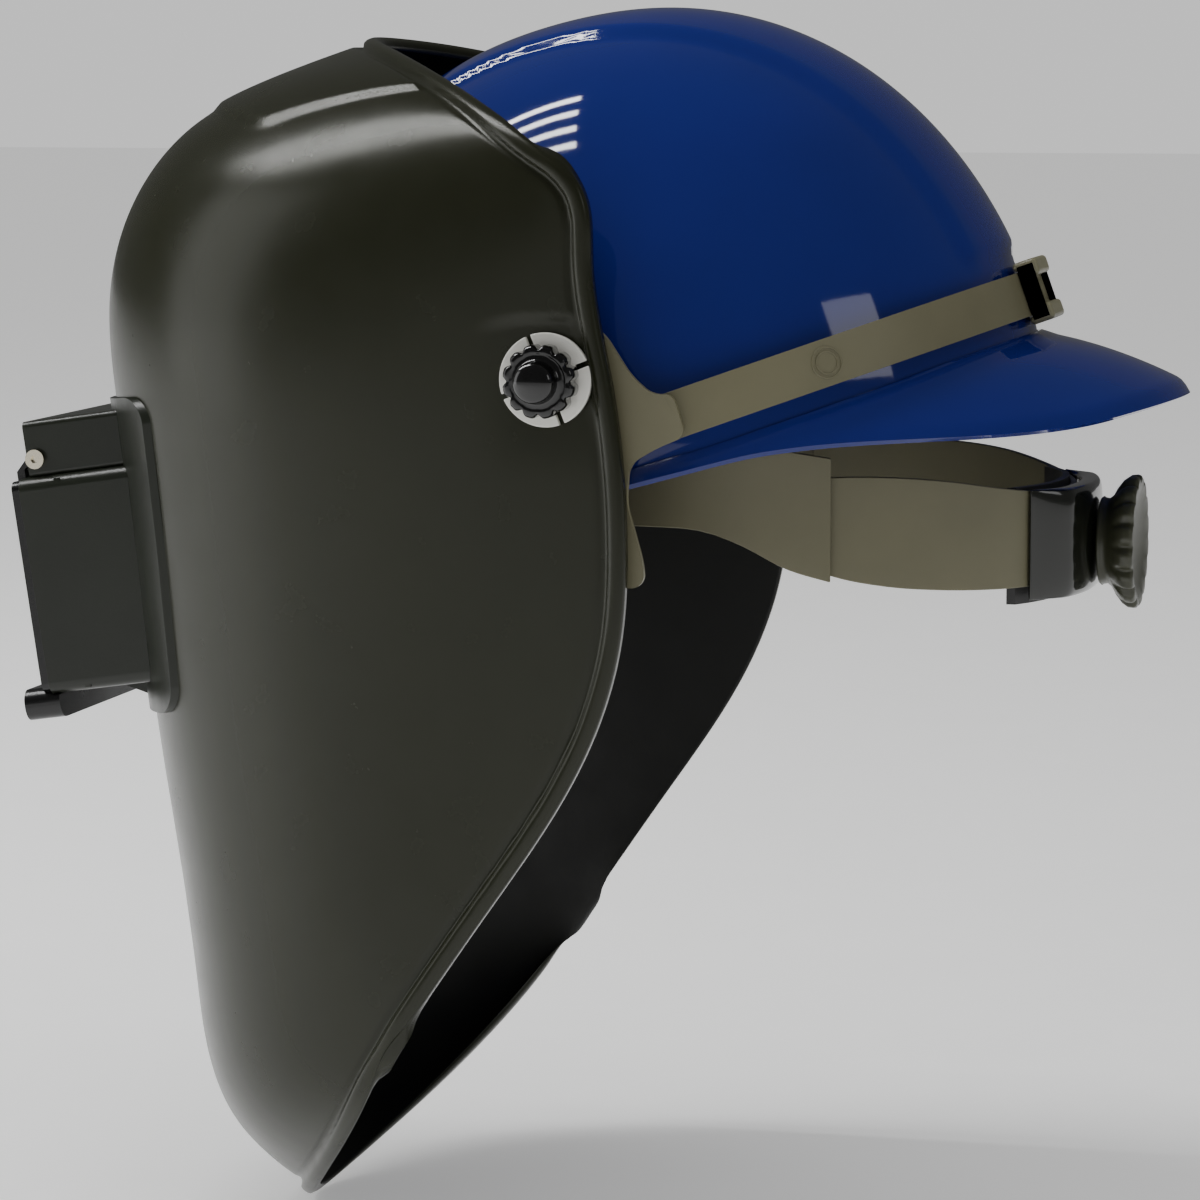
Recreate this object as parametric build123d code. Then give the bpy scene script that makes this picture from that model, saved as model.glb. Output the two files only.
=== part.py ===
"""Lift-front welding helmet hung on a reversed hard hat.

Row frame: millimetres, +Z up, the wearer faces -Y, the wearer's left is +X.
The origin is the centre of the head ring.
"""

from build123d import *
import math
import os

# ---------------------------------------------------------------- driving sizes
# hard hat
HAT_Y, HAT_Z = -32.5, 16.3        # centre of the dome
HAT_TILT = 15.0                   # the rear of the hat sits high
HAT_LENGTH = 122.0                # half length of the dome
HAT_WIDTH = 108.0                 # half width of the dome
HAT_HEIGHT = 129.8                # dome height above its centre plane
HAT_WALL = 2.3
RIDGE_HALF = 35.0                 # crown ridge
RIDGE_RISE = 3.0
LIP = 4.0                         # brim at the sides and front
PEAK = 43.0                       # brim at the rear

# face shield
SHIELD_HALF = 119.5               # half width between the side walls
SHIELD_WALL = 2.5
BEAD_WIDTH = 5.5                  # rolled bead round the rim
BEAD_RISE = 2.4

# tilt pivot
PIVOT_Y, PIVOT_Z = -41.5, 39.7
STUD_R = 3.0
DISC_R = 14.0
DISC_THICK = 2.0
WASHER_R = 12.0
KNOB_R = 11.0
KNOB_LENGTH = 12.0
KNOB_HUB = 6.0                    # hub stands proud of the knob

# shield adapters and rear strap
ADAPTER_THICK = 2.0
ADAPTER_SPACE = 2.4               # between the side plates and the shield
ADAPTER_X = SHIELD_HALF - SHIELD_WALL - ADAPTER_SPACE - ADAPTER_THICK   # their inner face
ADAPTER_R = 21.0                  # round boss of a side plate
STRAP_HIGH = 14.0
STRAP_THICK = 1.7
STRAP_TILT = 19.7                 # the strap rises to the rear by this many degrees
STRAP_Y = PIVOT_Y + 26.6          # a point on the strap's middle line behind the pivot
STRAP_Z = PIVOT_Z - 14.1
STRAP_AHEAD = 19.7                # the strap's oval is centred this far ahead of that point
STRAP_CLEAR = 1.0                 # between the dome and the strap

# lens housing, in its own frame: X across, Y up the face, Z out
LENS_Y, LENS_Z = -224.65, -33.55  # centre of the front face
LENS_TILT = 8.4                   # the face looks slightly down
PLATE_W, PLATE_H = 108.0, 51.0    # 2 x 4 1/4 in plates
HOUSING_W = PLATE_W + 20
HOUSING_H = PLATE_H + 18.2
HOUSING_WALL = 2.6
BRACKET_W = HOUSING_W - 7
BRACKET_TOP = HOUSING_H / 2 + 17.8
HINGE_UP = HOUSING_H / 2 + 5.7
HINGE_OUT = -6.1
PIN_R = 2.0
FRAME_THICK = 3.0                 # front plate of the lift frame

# headband and nape
BAND_HALF_X = 78.0
BAND_HALF_Y = 98.0
BAND_WALL = 2.0
BAND_SPLIT_Y = 36.0               # the side arms end here and the nape band shows
RATCHET_R = 21.0                  # ratchet knob
RATCHET_Z = -16.5
RATCHET_REACH = 8.5               # the cover stands this far behind the band
RATCHET_SHAFT_R = 4.0
PINION_R = 6.0
WEB_WIDTH = 19.0                  # crown straps
WEB_THICK = 1.2
STRAP_SIDE = 20.0                 # from the dome's middle line to a strap's end
STRAP_BELOW = 30.0                # from the dome's top to the straps

# clearances
RUN = 0.05                        # shaft in a hole, radial
SEAT = 0.3                        # pieces that lie against each other
GAP = 0.4                         # pieces that move past each other


# ---------------------------------------------------------------- helpers
def mirrored(shape):
    """The same piece on the other side of the wearer."""
    return shape.mirror(Plane.YZ)


def superellipse(u, power):
    """Height of a unit superellipse arch at 0 <= u <= 1."""
    return max(0.0, 1.0 - u**power) ** (1.0 / power)


def smooth(t):
    """Smooth step from 0 to 1."""
    t = min(1.0, max(0.0, t))
    return t * t * (3 - 2 * t)


def grid_normals(grid):
    """Unit normals of a grid of points, by central differences."""
    rows, cols = len(grid), len(grid[0])
    normals = []
    for i in range(rows):
        row = []
        for j in range(cols):
            du = grid[min(i + 1, rows - 1)][j] - grid[max(i - 1, 0)][j]
            dv = grid[i][min(j + 1, cols - 1)] - grid[i][max(j - 1, 0)]
            row.append(du.cross(dv).normalized())
        normals.append(row)
    return normals


def moved_grid(grid, normals, distance):
    """A grid moved along its normals."""
    return [
        [p + n * distance for p, n in zip(row, line)]
        for row, line in zip(grid, normals)
    ]


def skin(grid):
    """A smooth face through every row of a grid of points."""
    last = len(grid[0]) - 1
    shares = [j / last for j in range(last + 1)]
    wires = [Wire([Edge.make_spline(row, parameters=shares)]) for row in grid]
    return Shell.make_loft(wires).faces()[0]


def solid_between(outer, inner):
    """A closed wall between two grids of points."""
    top = skin(outer)
    low = skin(inner)
    sides = []
    for edge in top.edges():
        middle = edge.position_at(0.5)
        other = min(low.edges(), key=lambda e: (e.position_at(0.5) - middle).length)
        straight = (edge.position_at(0) - other.position_at(0)).length
        crossed = (edge.position_at(0) - other.position_at(1)).length
        if crossed < straight:
            other = other.reversed(reconstruct=True)
        sides.append(Face.make_surface_from_curves(edge, other))
    solid = Solid(Shell([top, low] + sides))
    return solid if solid.volume > 0 else Solid(solid.wrapped.Reversed())


def slab_x(points, x0, x1):
    """A side-view outline of (y, z) points, filled between two X planes."""
    face = make_face(Polyline([(x0, y, z) for y, z in points], close=True))
    return extrude(face, x1 - x0, dir=(1, 0, 0))


def rod_x(radius, x0, x1, y, z):
    """A round bar along X."""
    return extrude(Plane((x0, y, z), x_dir=(0, 1, 0), z_dir=(1, 0, 0)) * Circle(radius), x1 - x0)


def oval(half_x, half_y, power, z0, z1):
    """An upright oval block, straight walled."""
    steps = 12
    quarter = []
    for k in range(steps + 1):
        angle = math.pi / 2 * k / steps
        quarter.append((
            half_x * math.cos(angle) ** (2 / power),
            half_y * math.sin(angle) ** (2 / power),
        ))
    half = quarter + [(-x, y) for x, y in reversed(quarter[:-1])]
    rear = Spline([(x, y, z0) for x, y in half], tangents=[(0, 1, 0), (0, -1, 0)])
    front = rear.mirror(Plane.XZ)
    return extrude(make_face([rear, front]), z1 - z0)


def in_hat(shape):
    """Place a shape made round the dome's own centre."""
    return Pos(0, HAT_Y, HAT_Z) * Rot(HAT_TILT, 0, 0) * shape


LENS = Plane(
    origin=(0, LENS_Y, LENS_Z),
    x_dir=(1, 0, 0),
    z_dir=(0, -math.cos(math.radians(LENS_TILT)), -math.sin(math.radians(LENS_TILT))),
)


def lens_block(width, low, high, back, front, corner=0.0):
    """A block in the lens frame: X across, low to high up the face, back to front."""
    outline = Rectangle(width, high - low)
    if corner:
        outline = RectangleRounded(width, high - low, corner)
    middle = Pos(0, (low + high) / 2, back) * outline
    return LENS * extrude(middle, front - back)


def lens_side(points, x0, x1):
    """A side outline of (up, out) points in the lens frame, filled between two X planes."""
    corners = [LENS.from_local_coords((x0, up, out)) for up, out in points]
    return extrude(make_face(Polyline(corners, close=True)), x1 - x0, dir=(1, 0, 0))


def lens_ring(width, height, inner_w, inner_h, back, front, corner=2.0):
    """A rectangular ring in the lens frame."""
    outer = lens_block(width, -height / 2, height / 2, back, front, corner)
    return outer - lens_block(inner_w, -inner_h / 2, inner_h / 2, back - 1, front + 1, corner / 2)


# ---------------------------------------------------------------- hard hat
def dome(length, width, height, low):
    """A solid dome round its own centre, cut flat at low."""
    steps = 14
    points = []
    for k in range(steps + 1):
        w = low + (height - low) * math.sin(math.pi / 2 * k / steps)
        points.append((length * max(0.0, 1 - (w / height) ** 2) ** (1 / 2.2), w))
    points[-1] = (0, height)
    edge = Spline([(r, 0, w) for r, w in points])
    outline = make_face([
        edge,
        Line((0, 0, height), (0, 0, low)),
        Line((0, 0, low), (points[0][0], 0, low)),
    ])
    return scale(revolve(outline, Axis.Z), by=(width / length, 1, 1))


def brim_grid(drop):
    """Half of the brim, from the dome to its outer edge, round its own centre."""
    rows = []
    for i in range(37):
        angle = math.radians(-90 + 180 * i / 36)
        rear = smooth((math.degrees(angle) - 15) / 75)
        front = smooth(-math.degrees(angle) / 90)
        reach = LIP + (PEAK - LIP) * rear
        w_in = -7 + 7.5 * smooth(math.degrees(angle) / 80) + 15 * front
        w_out = -11.6 - 15.5 * smooth((math.degrees(angle) - 20) / 50) + 16 * front
        c, s = math.cos(angle), math.sin(angle)
        out = Vector(c / HAT_WIDTH, s / HAT_LENGTH, 0).normalized()
        start = Vector(HAT_WIDTH * c, HAT_LENGTH * s, 0) - out * 1.2
        row = []
        for k in range(7):
            t = k / 6
            bulge = 2.6 * rear * 4 * t * (1 - t)
            w = w_in + (w_out - w_in) * t + bulge - drop
            row.append(start + out * ((reach + 1.2) * t) + Vector(0, 0, w))
        if i in (0, 36):
            row = [Vector(0, p.Y, p.Z) for p in row]
        rows.append(row)
    return rows


def make_hat_shell():
    """Dome, crown ridge and brim, one moulding, with a raised front edge."""
    shell = dome(HAT_LENGTH, HAT_WIDTH, HAT_HEIGHT, -10)
    ridge = dome(HAT_LENGTH + 2, HAT_WIDTH + 2, HAT_HEIGHT + RIDGE_RISE, 26)
    shell += ridge & Box(2 * RIDGE_HALF, 400, 400)
    front = [(15, -11), (-140, 6.5), (-140, -30), (15, -30)]
    shell -= slab_x(front, -130, 130)
    half = solid_between(brim_grid(0), brim_grid(HAT_WALL))
    shell = shell + half + mirrored(half)
    shell -= dome(HAT_LENGTH - HAT_WALL, HAT_WIDTH - HAT_WALL, HAT_HEIGHT - HAT_WALL, -60)
    return in_hat(shell)


# ---------------------------------------------------------------- face shield
# one side of the rim in side view, from the rear top corner down to the jaw
RIM_SIDE = [
    (-38, 104.5), (-31, 97), (-28.2, 87), (-27.8, 75), (-22.1, 40), (-17.4, -10),
    (-19.4, -40), (-31, -75), (-59.5, -120), (-90.5, -165),
]
# middle of the front in side view, from the top rim down to the chin
FRONT = [
    (-126.3, 138.7), (-160, 126), (-184, 113), (-206.5, 82), (-211.5, 60), (-209, 22),
    (-195, -84), (-183, -158), (-173, -209), (-149.2, -238.6),
]
rim_path = Spline([(0, y, z) for y, z in RIM_SIDE])
front_path = Spline([(0, y, z) for y, z in FRONT])


def shield_curve(v):
    """One cross curve of the shield, from the side rim to the middle, as close points."""
    side = rim_path @ v
    front = front_path @ v
    end_power = 1.3 + 0.12 * v
    power = end_power + (2.55 - end_power) * (1 - abs(2 * v - 1) ** 5)
    top_bow = 4.5 * (1 - smooth(v / 0.25))
    low_bow = 4.5 * (1 - smooth((1 - v) / 0.25))
    soft = 0.1
    full = (1 + soft**2) ** (power / 2) - soft**power
    points = []
    for k in range(81):
        x = math.cos(math.pi / 2 * k / 80) ** (2 / power)
        rise = ((x * x + soft**2) ** (power / 2) - soft**power) / full
        q = max(0.0, 1 - rise) ** (1 / power)
        bow = 4 * q * (1 - q)
        middle = side + (front - side) * q
        points.append(Vector(SHIELD_HALF * x, middle.Y + low_bow * bow, middle.Z + top_bow * bow))
    points[0] = Vector(SHIELD_HALF, side.Y, side.Z)
    points[-1] = Vector(0, front.Y, front.Z)
    return points


def along(points, fraction):
    """The point at a share of the length of a line of close points."""
    runs = [(b - a).length for a, b in zip(points, points[1:])]
    left = fraction * sum(runs)
    for a, b, run in zip(points, points[1:], runs):
        if left <= run:
            return a + (b - a) * (left / run)
        left -= run
    return points[-1]


def shield_grid(u_start, v_start, v_end, rows=31, cols=20):
    """Grid of points on the outer face, from one side to the other."""
    grid = []
    for i in range(rows):
        curve = shield_curve(v_start + (v_end - v_start) * i / (rows - 1))
        half = [along(curve, u_start + (1 - u_start) * j / cols) for j in range(cols + 1)]
        grid.append(half + [Vector(-p.X, p.Y, p.Z) for p in reversed(half[:-1])])
    return grid


def shield_normals(grid, at_rim):
    """Outward normals of a shield grid; square to the side walls at the rim."""
    normals = grid_normals(grid)
    centre = Vector(0, -60, -40)
    result = []
    for row, line in zip(grid, normals):
        out = [n if n.dot(p - centre) > 0 else n * -1 for p, n in zip(row, line)]
        middle = len(out) // 2
        out[middle] = Vector(0, out[middle].Y, out[middle].Z).normalized()
        if at_rim:
            out[0] = Vector(1, 0, 0)
            out[-1] = Vector(-1, 0, 0)
        result.append(out)
    return result


def shield_layer(grid, normals, outside, inside):
    """A wall between two distances from the outer face."""
    return solid_between(moved_grid(grid, normals, outside), moved_grid(grid, normals, inside))


def rim_loop():
    """Half of the rim, from the middle of the top round one side to the chin."""
    top = shield_curve(0.0)
    low = shield_curve(1.0)
    points = [along(top, 1 - k / 16) for k in range(16)]
    points += [Vector(SHIELD_HALF, 0, 0) + (rim_path @ (k / 28)) for k in range(29)]
    points += [along(low, k / 16) for k in range(1, 17)]
    return points


def make_rim_bead():
    """Rolled bead round half of the rim, with a rounded section."""
    points = rim_loop()
    near = [(shield_curve(0.02), 1), (shield_curve(0.98), 1)]
    count = len(points)
    outer = []
    inner = []
    for i, p in enumerate(points):
        tangent = (points[min(i + 1, count - 1)] - points[max(i - 1, 0)]).normalized()
        if i <= 16:
            inward = along(near[0][0], 1 - i / 16) - p
        elif i >= 44:
            inward = along(near[1][0], (i - 44) / 16) - p
        else:
            inward = Vector(0, -60, -40) - Vector(0, p.Y, p.Z)
        if 12 <= i <= 48:
            blend = smooth((i - 12) / 6) if i < 20 else smooth((48 - i) / 6)
            side = Vector(0, -90, -20) - Vector(0, p.Y, p.Z)
            inward = inward.normalized() * (1 - blend) + side.normalized() * blend
        inward = (inward - tangent * inward.dot(tangent)).normalized()
        normal = tangent.cross(inward).normalized()
        if normal.dot(p - Vector(0, -60, -40)) < 0:
            normal = normal * -1
        if i in (0, count - 1):
            inward = Vector(0, inward.Y, inward.Z).normalized()
            normal = Vector(0, normal.Y, normal.Z).normalized()
        row = []
        back = []
        for k in range(9):
            t = k / 8
            d = -0.6 + (BEAD_WIDTH + 0.6) * t
            rise = 0.2 + (BEAD_RISE - 0.2) * superellipse(abs(2 * t - 1), 2.4)
            row.append(p + inward * d + normal * rise)
            back.append(p + inward * d - normal * 1.3)
        outer.append(row)
        inner.append(back)
    return solid_between(outer, inner)


WINDOW_W, WINDOW_H = PLATE_W + 2, PLATE_H + 1    # opening in the shield behind the lens
PAD_RISE = 2.0                      # flange pad round the housing
PAD_W = HOUSING_W + 30
PAD_LOW, PAD_HIGH = -HOUSING_H / 2 - 9.4, HOUSING_H / 2 + 21.4
PAD_CORNER = 9.0
CLAMP_THICK = 2.2                   # frame inside the shield
CLAMP_W, CLAMP_H = WINDOW_W + 22, WINDOW_H + 20
SCREW_R = 1.6
SCREW_X, SCREW_UP = WINDOW_W / 2 + 3.2, WINDOW_H / 2 + 3.4      # clamp screws
front_grid = shield_grid(0.42, 0.3, 0.8)
front_normals = shield_normals(front_grid, False)


def front_layer(outside, inside):
    """A layer parallel to the front of the shield."""
    return shield_layer(front_grid, front_normals, outside, inside)


def behind_front(outside):
    """Everything behind the front of the shield, for trimming."""
    start = moved_grid(front_grid, front_normals, outside)
    return solid_between(start, [[p + Vector(0, 90, 0) for p in row] for row in start])


def window_block():
    """Opening through shield, pad and clamp."""
    return lens_block(WINDOW_W, -WINDOW_H / 2, WINDOW_H / 2, -70, -12, 3)


def screw_places():
    """Clamp screw centres in the lens frame."""
    return [(x, up) for x in (-SCREW_X, SCREW_X) for up in (-SCREW_UP, SCREW_UP)]


def lens_bar(radius, x, up, back, front):
    """A round bar along the lens frame's own Z."""
    return LENS * (Pos(x, up, back) * extrude(Circle(radius), front - back))


def make_shield_shell():
    """The face shield with its bead, window, stud holes and screw holes."""
    grid = shield_grid(0, 0, 1)
    shell = shield_layer(grid, shield_normals(grid, True), 0, -SHIELD_WALL)
    bead = make_rim_bead()
    shell = shell + bead + mirrored(bead)
    shell -= window_block()
    shell -= rod_x(STUD_R + GAP, -130, 130, PIVOT_Y, PIVOT_Z)
    for x, up in screw_places():
        shell -= lens_bar(SCREW_R + RUN, x, up, -60, -10)
    return shell


def make_housing_pad():
    """Flange pad between the lens housing and the shield."""
    pad = front_layer(PAD_RISE, 0) & lens_block(PAD_W, PAD_LOW, PAD_HIGH, -80, 10, PAD_CORNER)
    pad -= window_block()
    for x, up in screw_places():
        pad -= lens_bar(SCREW_R + RUN, x, up, -60, -10)
    return pad


def make_lens_housing():
    """Box that carries the lenses, with the hinge bracket above and an apron below."""
    half = HOUSING_H / 2
    box = lens_block(HOUSING_W, -half, half, -60, 0, 4)
    hollow = lens_block(HOUSING_W - 2 * HOUSING_WALL, -half + HOUSING_WALL, half - HOUSING_WALL, -61, 1, 2)
    box -= hollow
    ledge = lens_block(HOUSING_W - 1, -half + 1, half - 1, -14, -12)
    box += ledge - lens_block(PLATE_W - 8, -PLATE_H / 2 + 4, PLATE_H / 2 - 4, -15, -11, 2)
    bracket = lens_block(BRACKET_W, half - 0.5, BRACKET_TOP, -60, -3, 2)
    bracket -= lens_block(BRACKET_W - 5, half + 0.01, BRACKET_TOP - 2.4, -61, 1)
    bracket -= lens_block(BRACKET_W - 5, half - 1, half + 1, -9.5, 1)
    box += bracket
    box += lens_side([(-half + 0.5, -12), (-half + 0.5, -48), (-52, -48)], -40, 40)
    box -= lens_side([(-half - 0.01, -18), (-half - 0.01, -60), (-55, -60)], -37.5, 37.5)
    for x, up in screw_places():
        box += lens_bar(3.4, x, up, -60, -20)
    box -= behind_front(PAD_RISE)
    for x, up in screw_places():
        box -= lens_bar(SCREW_R + RUN, x, up, -60, -22)
    pin_hole = LENS * (Pos(-80, HINGE_UP, HINGE_OUT) * Rot(0, 90, 0) * extrude(Circle(PIN_R + RUN), 160))
    return box - pin_hole


def make_clamp_frame():
    """Frame inside the shield that holds the housing."""
    frame = front_layer(-SHIELD_WALL, -SHIELD_WALL - CLAMP_THICK)
    frame &= lens_block(CLAMP_W, -CLAMP_H / 2, CLAMP_H / 2, -90, 10, 5)
    frame -= window_block()
    for x, up in screw_places():
        frame -= lens_bar(SCREW_R + RUN, x, up, -70, -10)
    return frame


def make_clamp_screws():
    """Four screws from inside the shield into the housing."""
    screws = []
    layer = front_layer(-SHIELD_WALL, -SHIELD_WALL - CLAMP_THICK)
    inner = behind_front(-SHIELD_WALL - CLAMP_THICK)
    for x, up in screw_places():
        probe = LENS.to_local_coords(lens_bar(0.5, x, up, -80, -10) & layer)
        low = probe.bounding_box().min.Z
        head = lens_bar(3.0, x, up, low - 1.8, low + 4) & inner
        screws.append(head + lens_bar(SCREW_R, x, up, low - 1.0, -22.5))
    return Compound(screws)


def x_bar_in_lens(radius, x0, x1, up, out):
    """A round bar along X, placed in the lens frame."""
    return LENS * (Pos(x0, up, out) * Rot(0, 90, 0) * extrude(Circle(radius), x1 - x0))


def make_hinge_screw():
    """Left hinge screw with a domed hollow head outside the bracket."""
    edge = BRACKET_W / 2
    screw = x_bar_in_lens(PIN_R, edge - 14, edge, HINGE_UP, HINGE_OUT)
    head = x_bar_in_lens(3.1, edge, edge + 1.7, HINGE_UP, HINGE_OUT)
    socket = LENS * (Pos(edge + 0.5, HINGE_UP, HINGE_OUT) * Rot(0, 90, 0) * extrude(RegularPolygon(1.3, 6), 3))
    return screw + head - socket


def make_lift_frame():
    """Frame that lifts: front plate, pocket for the plates and hinge barrels."""
    half = HOUSING_H / 2 - 0.6
    skirt = PLATE_H / 2 + 3.8
    frame = lens_block(HOUSING_W - 3, -half, half, SEAT, FRAME_THICK, 3)
    frame += lens_block(PLATE_W + 6, -skirt, skirt, -5, 1, 2)
    frame -= lens_block(PLATE_W + 0.8, -PLATE_H / 2 - 0.4, PLATE_H / 2 + 0.4, -6, 2)
    frame -= lens_block(PLATE_W - 10, -PLATE_H / 2 + 4.5, PLATE_H / 2 - 4.5, -7, 4, 3)
    web = [
        (half - 1, SEAT), (half - 1, FRAME_THICK), (HINGE_UP - 3.5, FRAME_THICK), (HINGE_UP + 1.7, -2.2),
        (HINGE_UP, HINGE_OUT), (HINGE_UP - 2.9, SEAT),
    ]
    for x in (-BRACKET_W / 2 + 10, BRACKET_W / 2 - 10):
        frame += lens_side(web, x - 5, x + 5)
        frame += x_bar_in_lens(4.2, x - 5, x + 5, HINGE_UP, HINGE_OUT)
    return frame - x_bar_in_lens(PIN_R + RUN, -70, 70, HINGE_UP, HINGE_OUT)


def make_lift_grip():
    """Rounded bar along the bottom of the lift frame."""
    half = HOUSING_H / 2
    bar = lens_block(HOUSING_W - 4, -half - 8, -half + 2, -2.1, 9.9, 4.5)
    bar -= lens_block(HOUSING_W + 10, -half - 0.5, 0, -10, SEAT)
    return bar - lens_block(HOUSING_W - 3, 0.6 - half, half - 0.6, SEAT, FRAME_THICK, 3)


def make_detent_leaf():
    """Leaf spring in the bracket that presses on the hinge barrels."""
    top = BRACKET_TOP - 2.4
    leaf = lens_block(96, top - 1.0, top - 0.1, -17, -7)
    return leaf + lens_block(96, top - 3, top - 0.1, -17.8, -17)


# ---------------------------------------------------------------- tilt pivot, made on the left
WALL_BOW = 0.8                      # the side wall lies this far in at the washer's edge
WALL_OUT = SHIELD_HALF + 0.05
WALL_IN = SHIELD_HALF - SHIELD_WALL - WALL_BOW


def in_strap(shape):
    """Place a shape made round the centre of the strap's oval."""
    return Pos(0, STRAP_Y, STRAP_Z) * Rot(STRAP_TILT, 0, 0) * Pos(0, -STRAP_AHEAD, 0) * shape


def make_adapter():
    """Left side plate and its half of the rear strap, one moulding."""
    x0 = ADAPTER_X
    x1 = ADAPTER_X + ADAPTER_THICK
    plate = rod_x(ADAPTER_R, x0, x1, PIVOT_Y, PIVOT_Z)
    plate += slab_x([(-60, 44), (-12, 34.5), (-12, 19.5), (-27, 8), (-60, 30)], x0, x1)
    foot = [(-44, 24), (-24, 14), (-20, 2), (-13.5, -15), (-12.6, -21), (-19.5, -23), (-33, -4)]
    plate += slab_x(foot, x0, x1)
    inner_y = HAT_LENGTH + STRAP_CLEAR
    ring = extrude(Ellipse(x1 - 0.3, inner_y + STRAP_THICK), STRAP_HIGH / 2, both=True)
    ring -= extrude(Ellipse(x0, inner_y), STRAP_HIGH, both=True)
    ring &= Pos(100 + SEAT / 2, 100 + 17, 0) * Box(200, 200, 200)
    ring = in_strap(ring)
    hub = rod_x(9, HAT_WIDTH - 8, x0, PIVOT_Y, PIVOT_Z)
    hub -= in_hat(dome(HAT_LENGTH + SEAT, HAT_WIDTH + SEAT, HAT_HEIGHT + SEAT, -20))
    return plate + ring + hub - rod_x(STUD_R + RUN, 60, 130, PIVOT_Y, PIVOT_Z)


def make_buckle():
    """C-shaped buckle over the joint of the rear strap."""
    outer = HAT_LENGTH + STRAP_CLEAR + STRAP_THICK
    block = Pos(0, outer + 2.5, 0) * Box(22, 8, 20)
    slot = Pos(0, outer - 1.7, 0) * Box(30, 6.5, STRAP_HIGH + 0.5)
    notch = Pos(0, outer + 5, 0) * Box(30, 5, 9)
    block = in_strap(block - slot - notch)
    block -= in_hat(dome(HAT_LENGTH + SEAT, HAT_WIDTH + SEAT, HAT_HEIGHT + SEAT, -20))
    return block


def make_stud():
    """Threaded stud fixed in the side plate."""
    stud = rod_x(STUD_R, HAT_WIDTH + 0.6, WALL_OUT + DISC_THICK + KNOB_LENGTH, PIVOT_Y, PIVOT_Z)
    return stud - in_hat(dome(HAT_LENGTH + 0.2, HAT_WIDTH + 0.2, HAT_HEIGHT + 0.2, -20))


def make_friction_washer():
    """Fibre washer between the side plate and the shield."""
    x0 = ADAPTER_X + ADAPTER_THICK
    return rod_x(WASHER_R, x0, WALL_IN, PIVOT_Y, PIVOT_Z) - rod_x(STUD_R + RUN, 100, 130, PIVOT_Y, PIVOT_Z)


def make_stop_disc():
    """Notched disc outside the shield wall."""
    disc = rod_x(DISC_R, WALL_OUT, WALL_OUT + DISC_THICK, PIVOT_Y, PIVOT_Z)
    for turn in (22, 112, 202, 292):
        slot = Pos(WALL_OUT, PIVOT_Y, PIVOT_Z) * Rot(turn, 0, 0) * Pos(0, DISC_R - 1, 0) * Box(9, 6, 1.6)
        disc -= slot
    return disc - rod_x(STUD_R + GAP, 100, 140, PIVOT_Y, PIVOT_Z)


def make_tension_knob():
    """Scalloped knob with a domed hub."""
    x0 = WALL_OUT + DISC_THICK + SEAT
    knob = rod_x(KNOB_R, x0, x0 + KNOB_LENGTH - 3, PIVOT_Y, PIVOT_Z)
    for k in range(12):
        angle = 2 * math.pi * k / 12
        reach = KNOB_R + 1.2
        y = PIVOT_Y + reach * math.cos(angle)
        z = PIVOT_Z + reach * math.sin(angle)
        knob -= rod_x(2.0, x0 - 1, x0 + 20, y, z)
    knob += rod_x(KNOB_HUB, x0, x0 + KNOB_LENGTH + 2, PIVOT_Y, PIVOT_Z)
    knob += Pos(x0 + KNOB_LENGTH + 2, PIVOT_Y, PIVOT_Z) * scale(Sphere(KNOB_HUB), by=(0.4, 1, 1))
    return knob - rod_x(STUD_R + RUN, x0 - 1, x0 + KNOB_LENGTH, PIVOT_Y, PIVOT_Z)


# ---------------------------------------------------------------- suspension
BAND_SIDE = [
    (-105, 24), (-20, 21), (BAND_SPLIT_Y, 14), (BAND_SPLIT_Y, -23.6), (20, -20), (8, -13), (-4, -8.2),
    (-23, -7.7), (-105, -9),
]
NAPE_SIDE = [
    (2, 6), (40, 8.5), (66, 8.5), (90, 2), (110, 0), (110, -27.6), (83, -27.6), (45, -25), (22, -15.5),
    (2, -9),
]
POWER = 2.3
NAPE_HALF_X = BAND_HALF_X - BAND_WALL - GAP
ARC_HALF = 38.0                     # half width of the ratchet housing


def oval_ring(half_x, half_y, wall):
    """An upright oval ring, tall enough to be cut to height."""
    return oval(half_x, half_y, POWER, -45, 45) - oval(half_x - wall, half_y - wall, POWER, -46, 46)


def make_headband():
    """Front and sides of the headband."""
    return oval_ring(BAND_HALF_X, BAND_HALF_Y, BAND_WALL) & slab_x(BAND_SIDE, -90, 90)


def make_sweatband():
    """Soft pad inside the front of the headband."""
    inset = BAND_WALL + SEAT
    pad = oval_ring(BAND_HALF_X - inset, BAND_HALF_Y - inset, 3.0)
    return pad & slab_x([(-105, 22), (-25, 19), (-25, -6), (-105, -7)], -90, 90)


def make_nape_band():
    """Rear band with two arms that slide inside the headband."""
    band = oval_ring(NAPE_HALF_X, BAND_HALF_Y, BAND_WALL) & slab_x(NAPE_SIDE, -90, 90)
    rack = Pos(0, BAND_HALF_Y, RATCHET_Z) * Box(32, 30, 2 * PINION_R + 1.6)
    return band - rack


def make_ratchet_housing():
    """Inner half of the ratchet, against the head."""
    sector = Box(2 * ARC_HALF, 400, 400) & Pos(0, 200, 0) * Box(400, 400, 400)
    ring = oval_ring(NAPE_HALF_X - BAND_WALL - SEAT, BAND_HALF_Y - BAND_WALL - SEAT, 2.2) & sector
    return ring & slab_x([(60, 3), (110, 3), (110, -33), (60, -33)], -90, 90)


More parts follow.
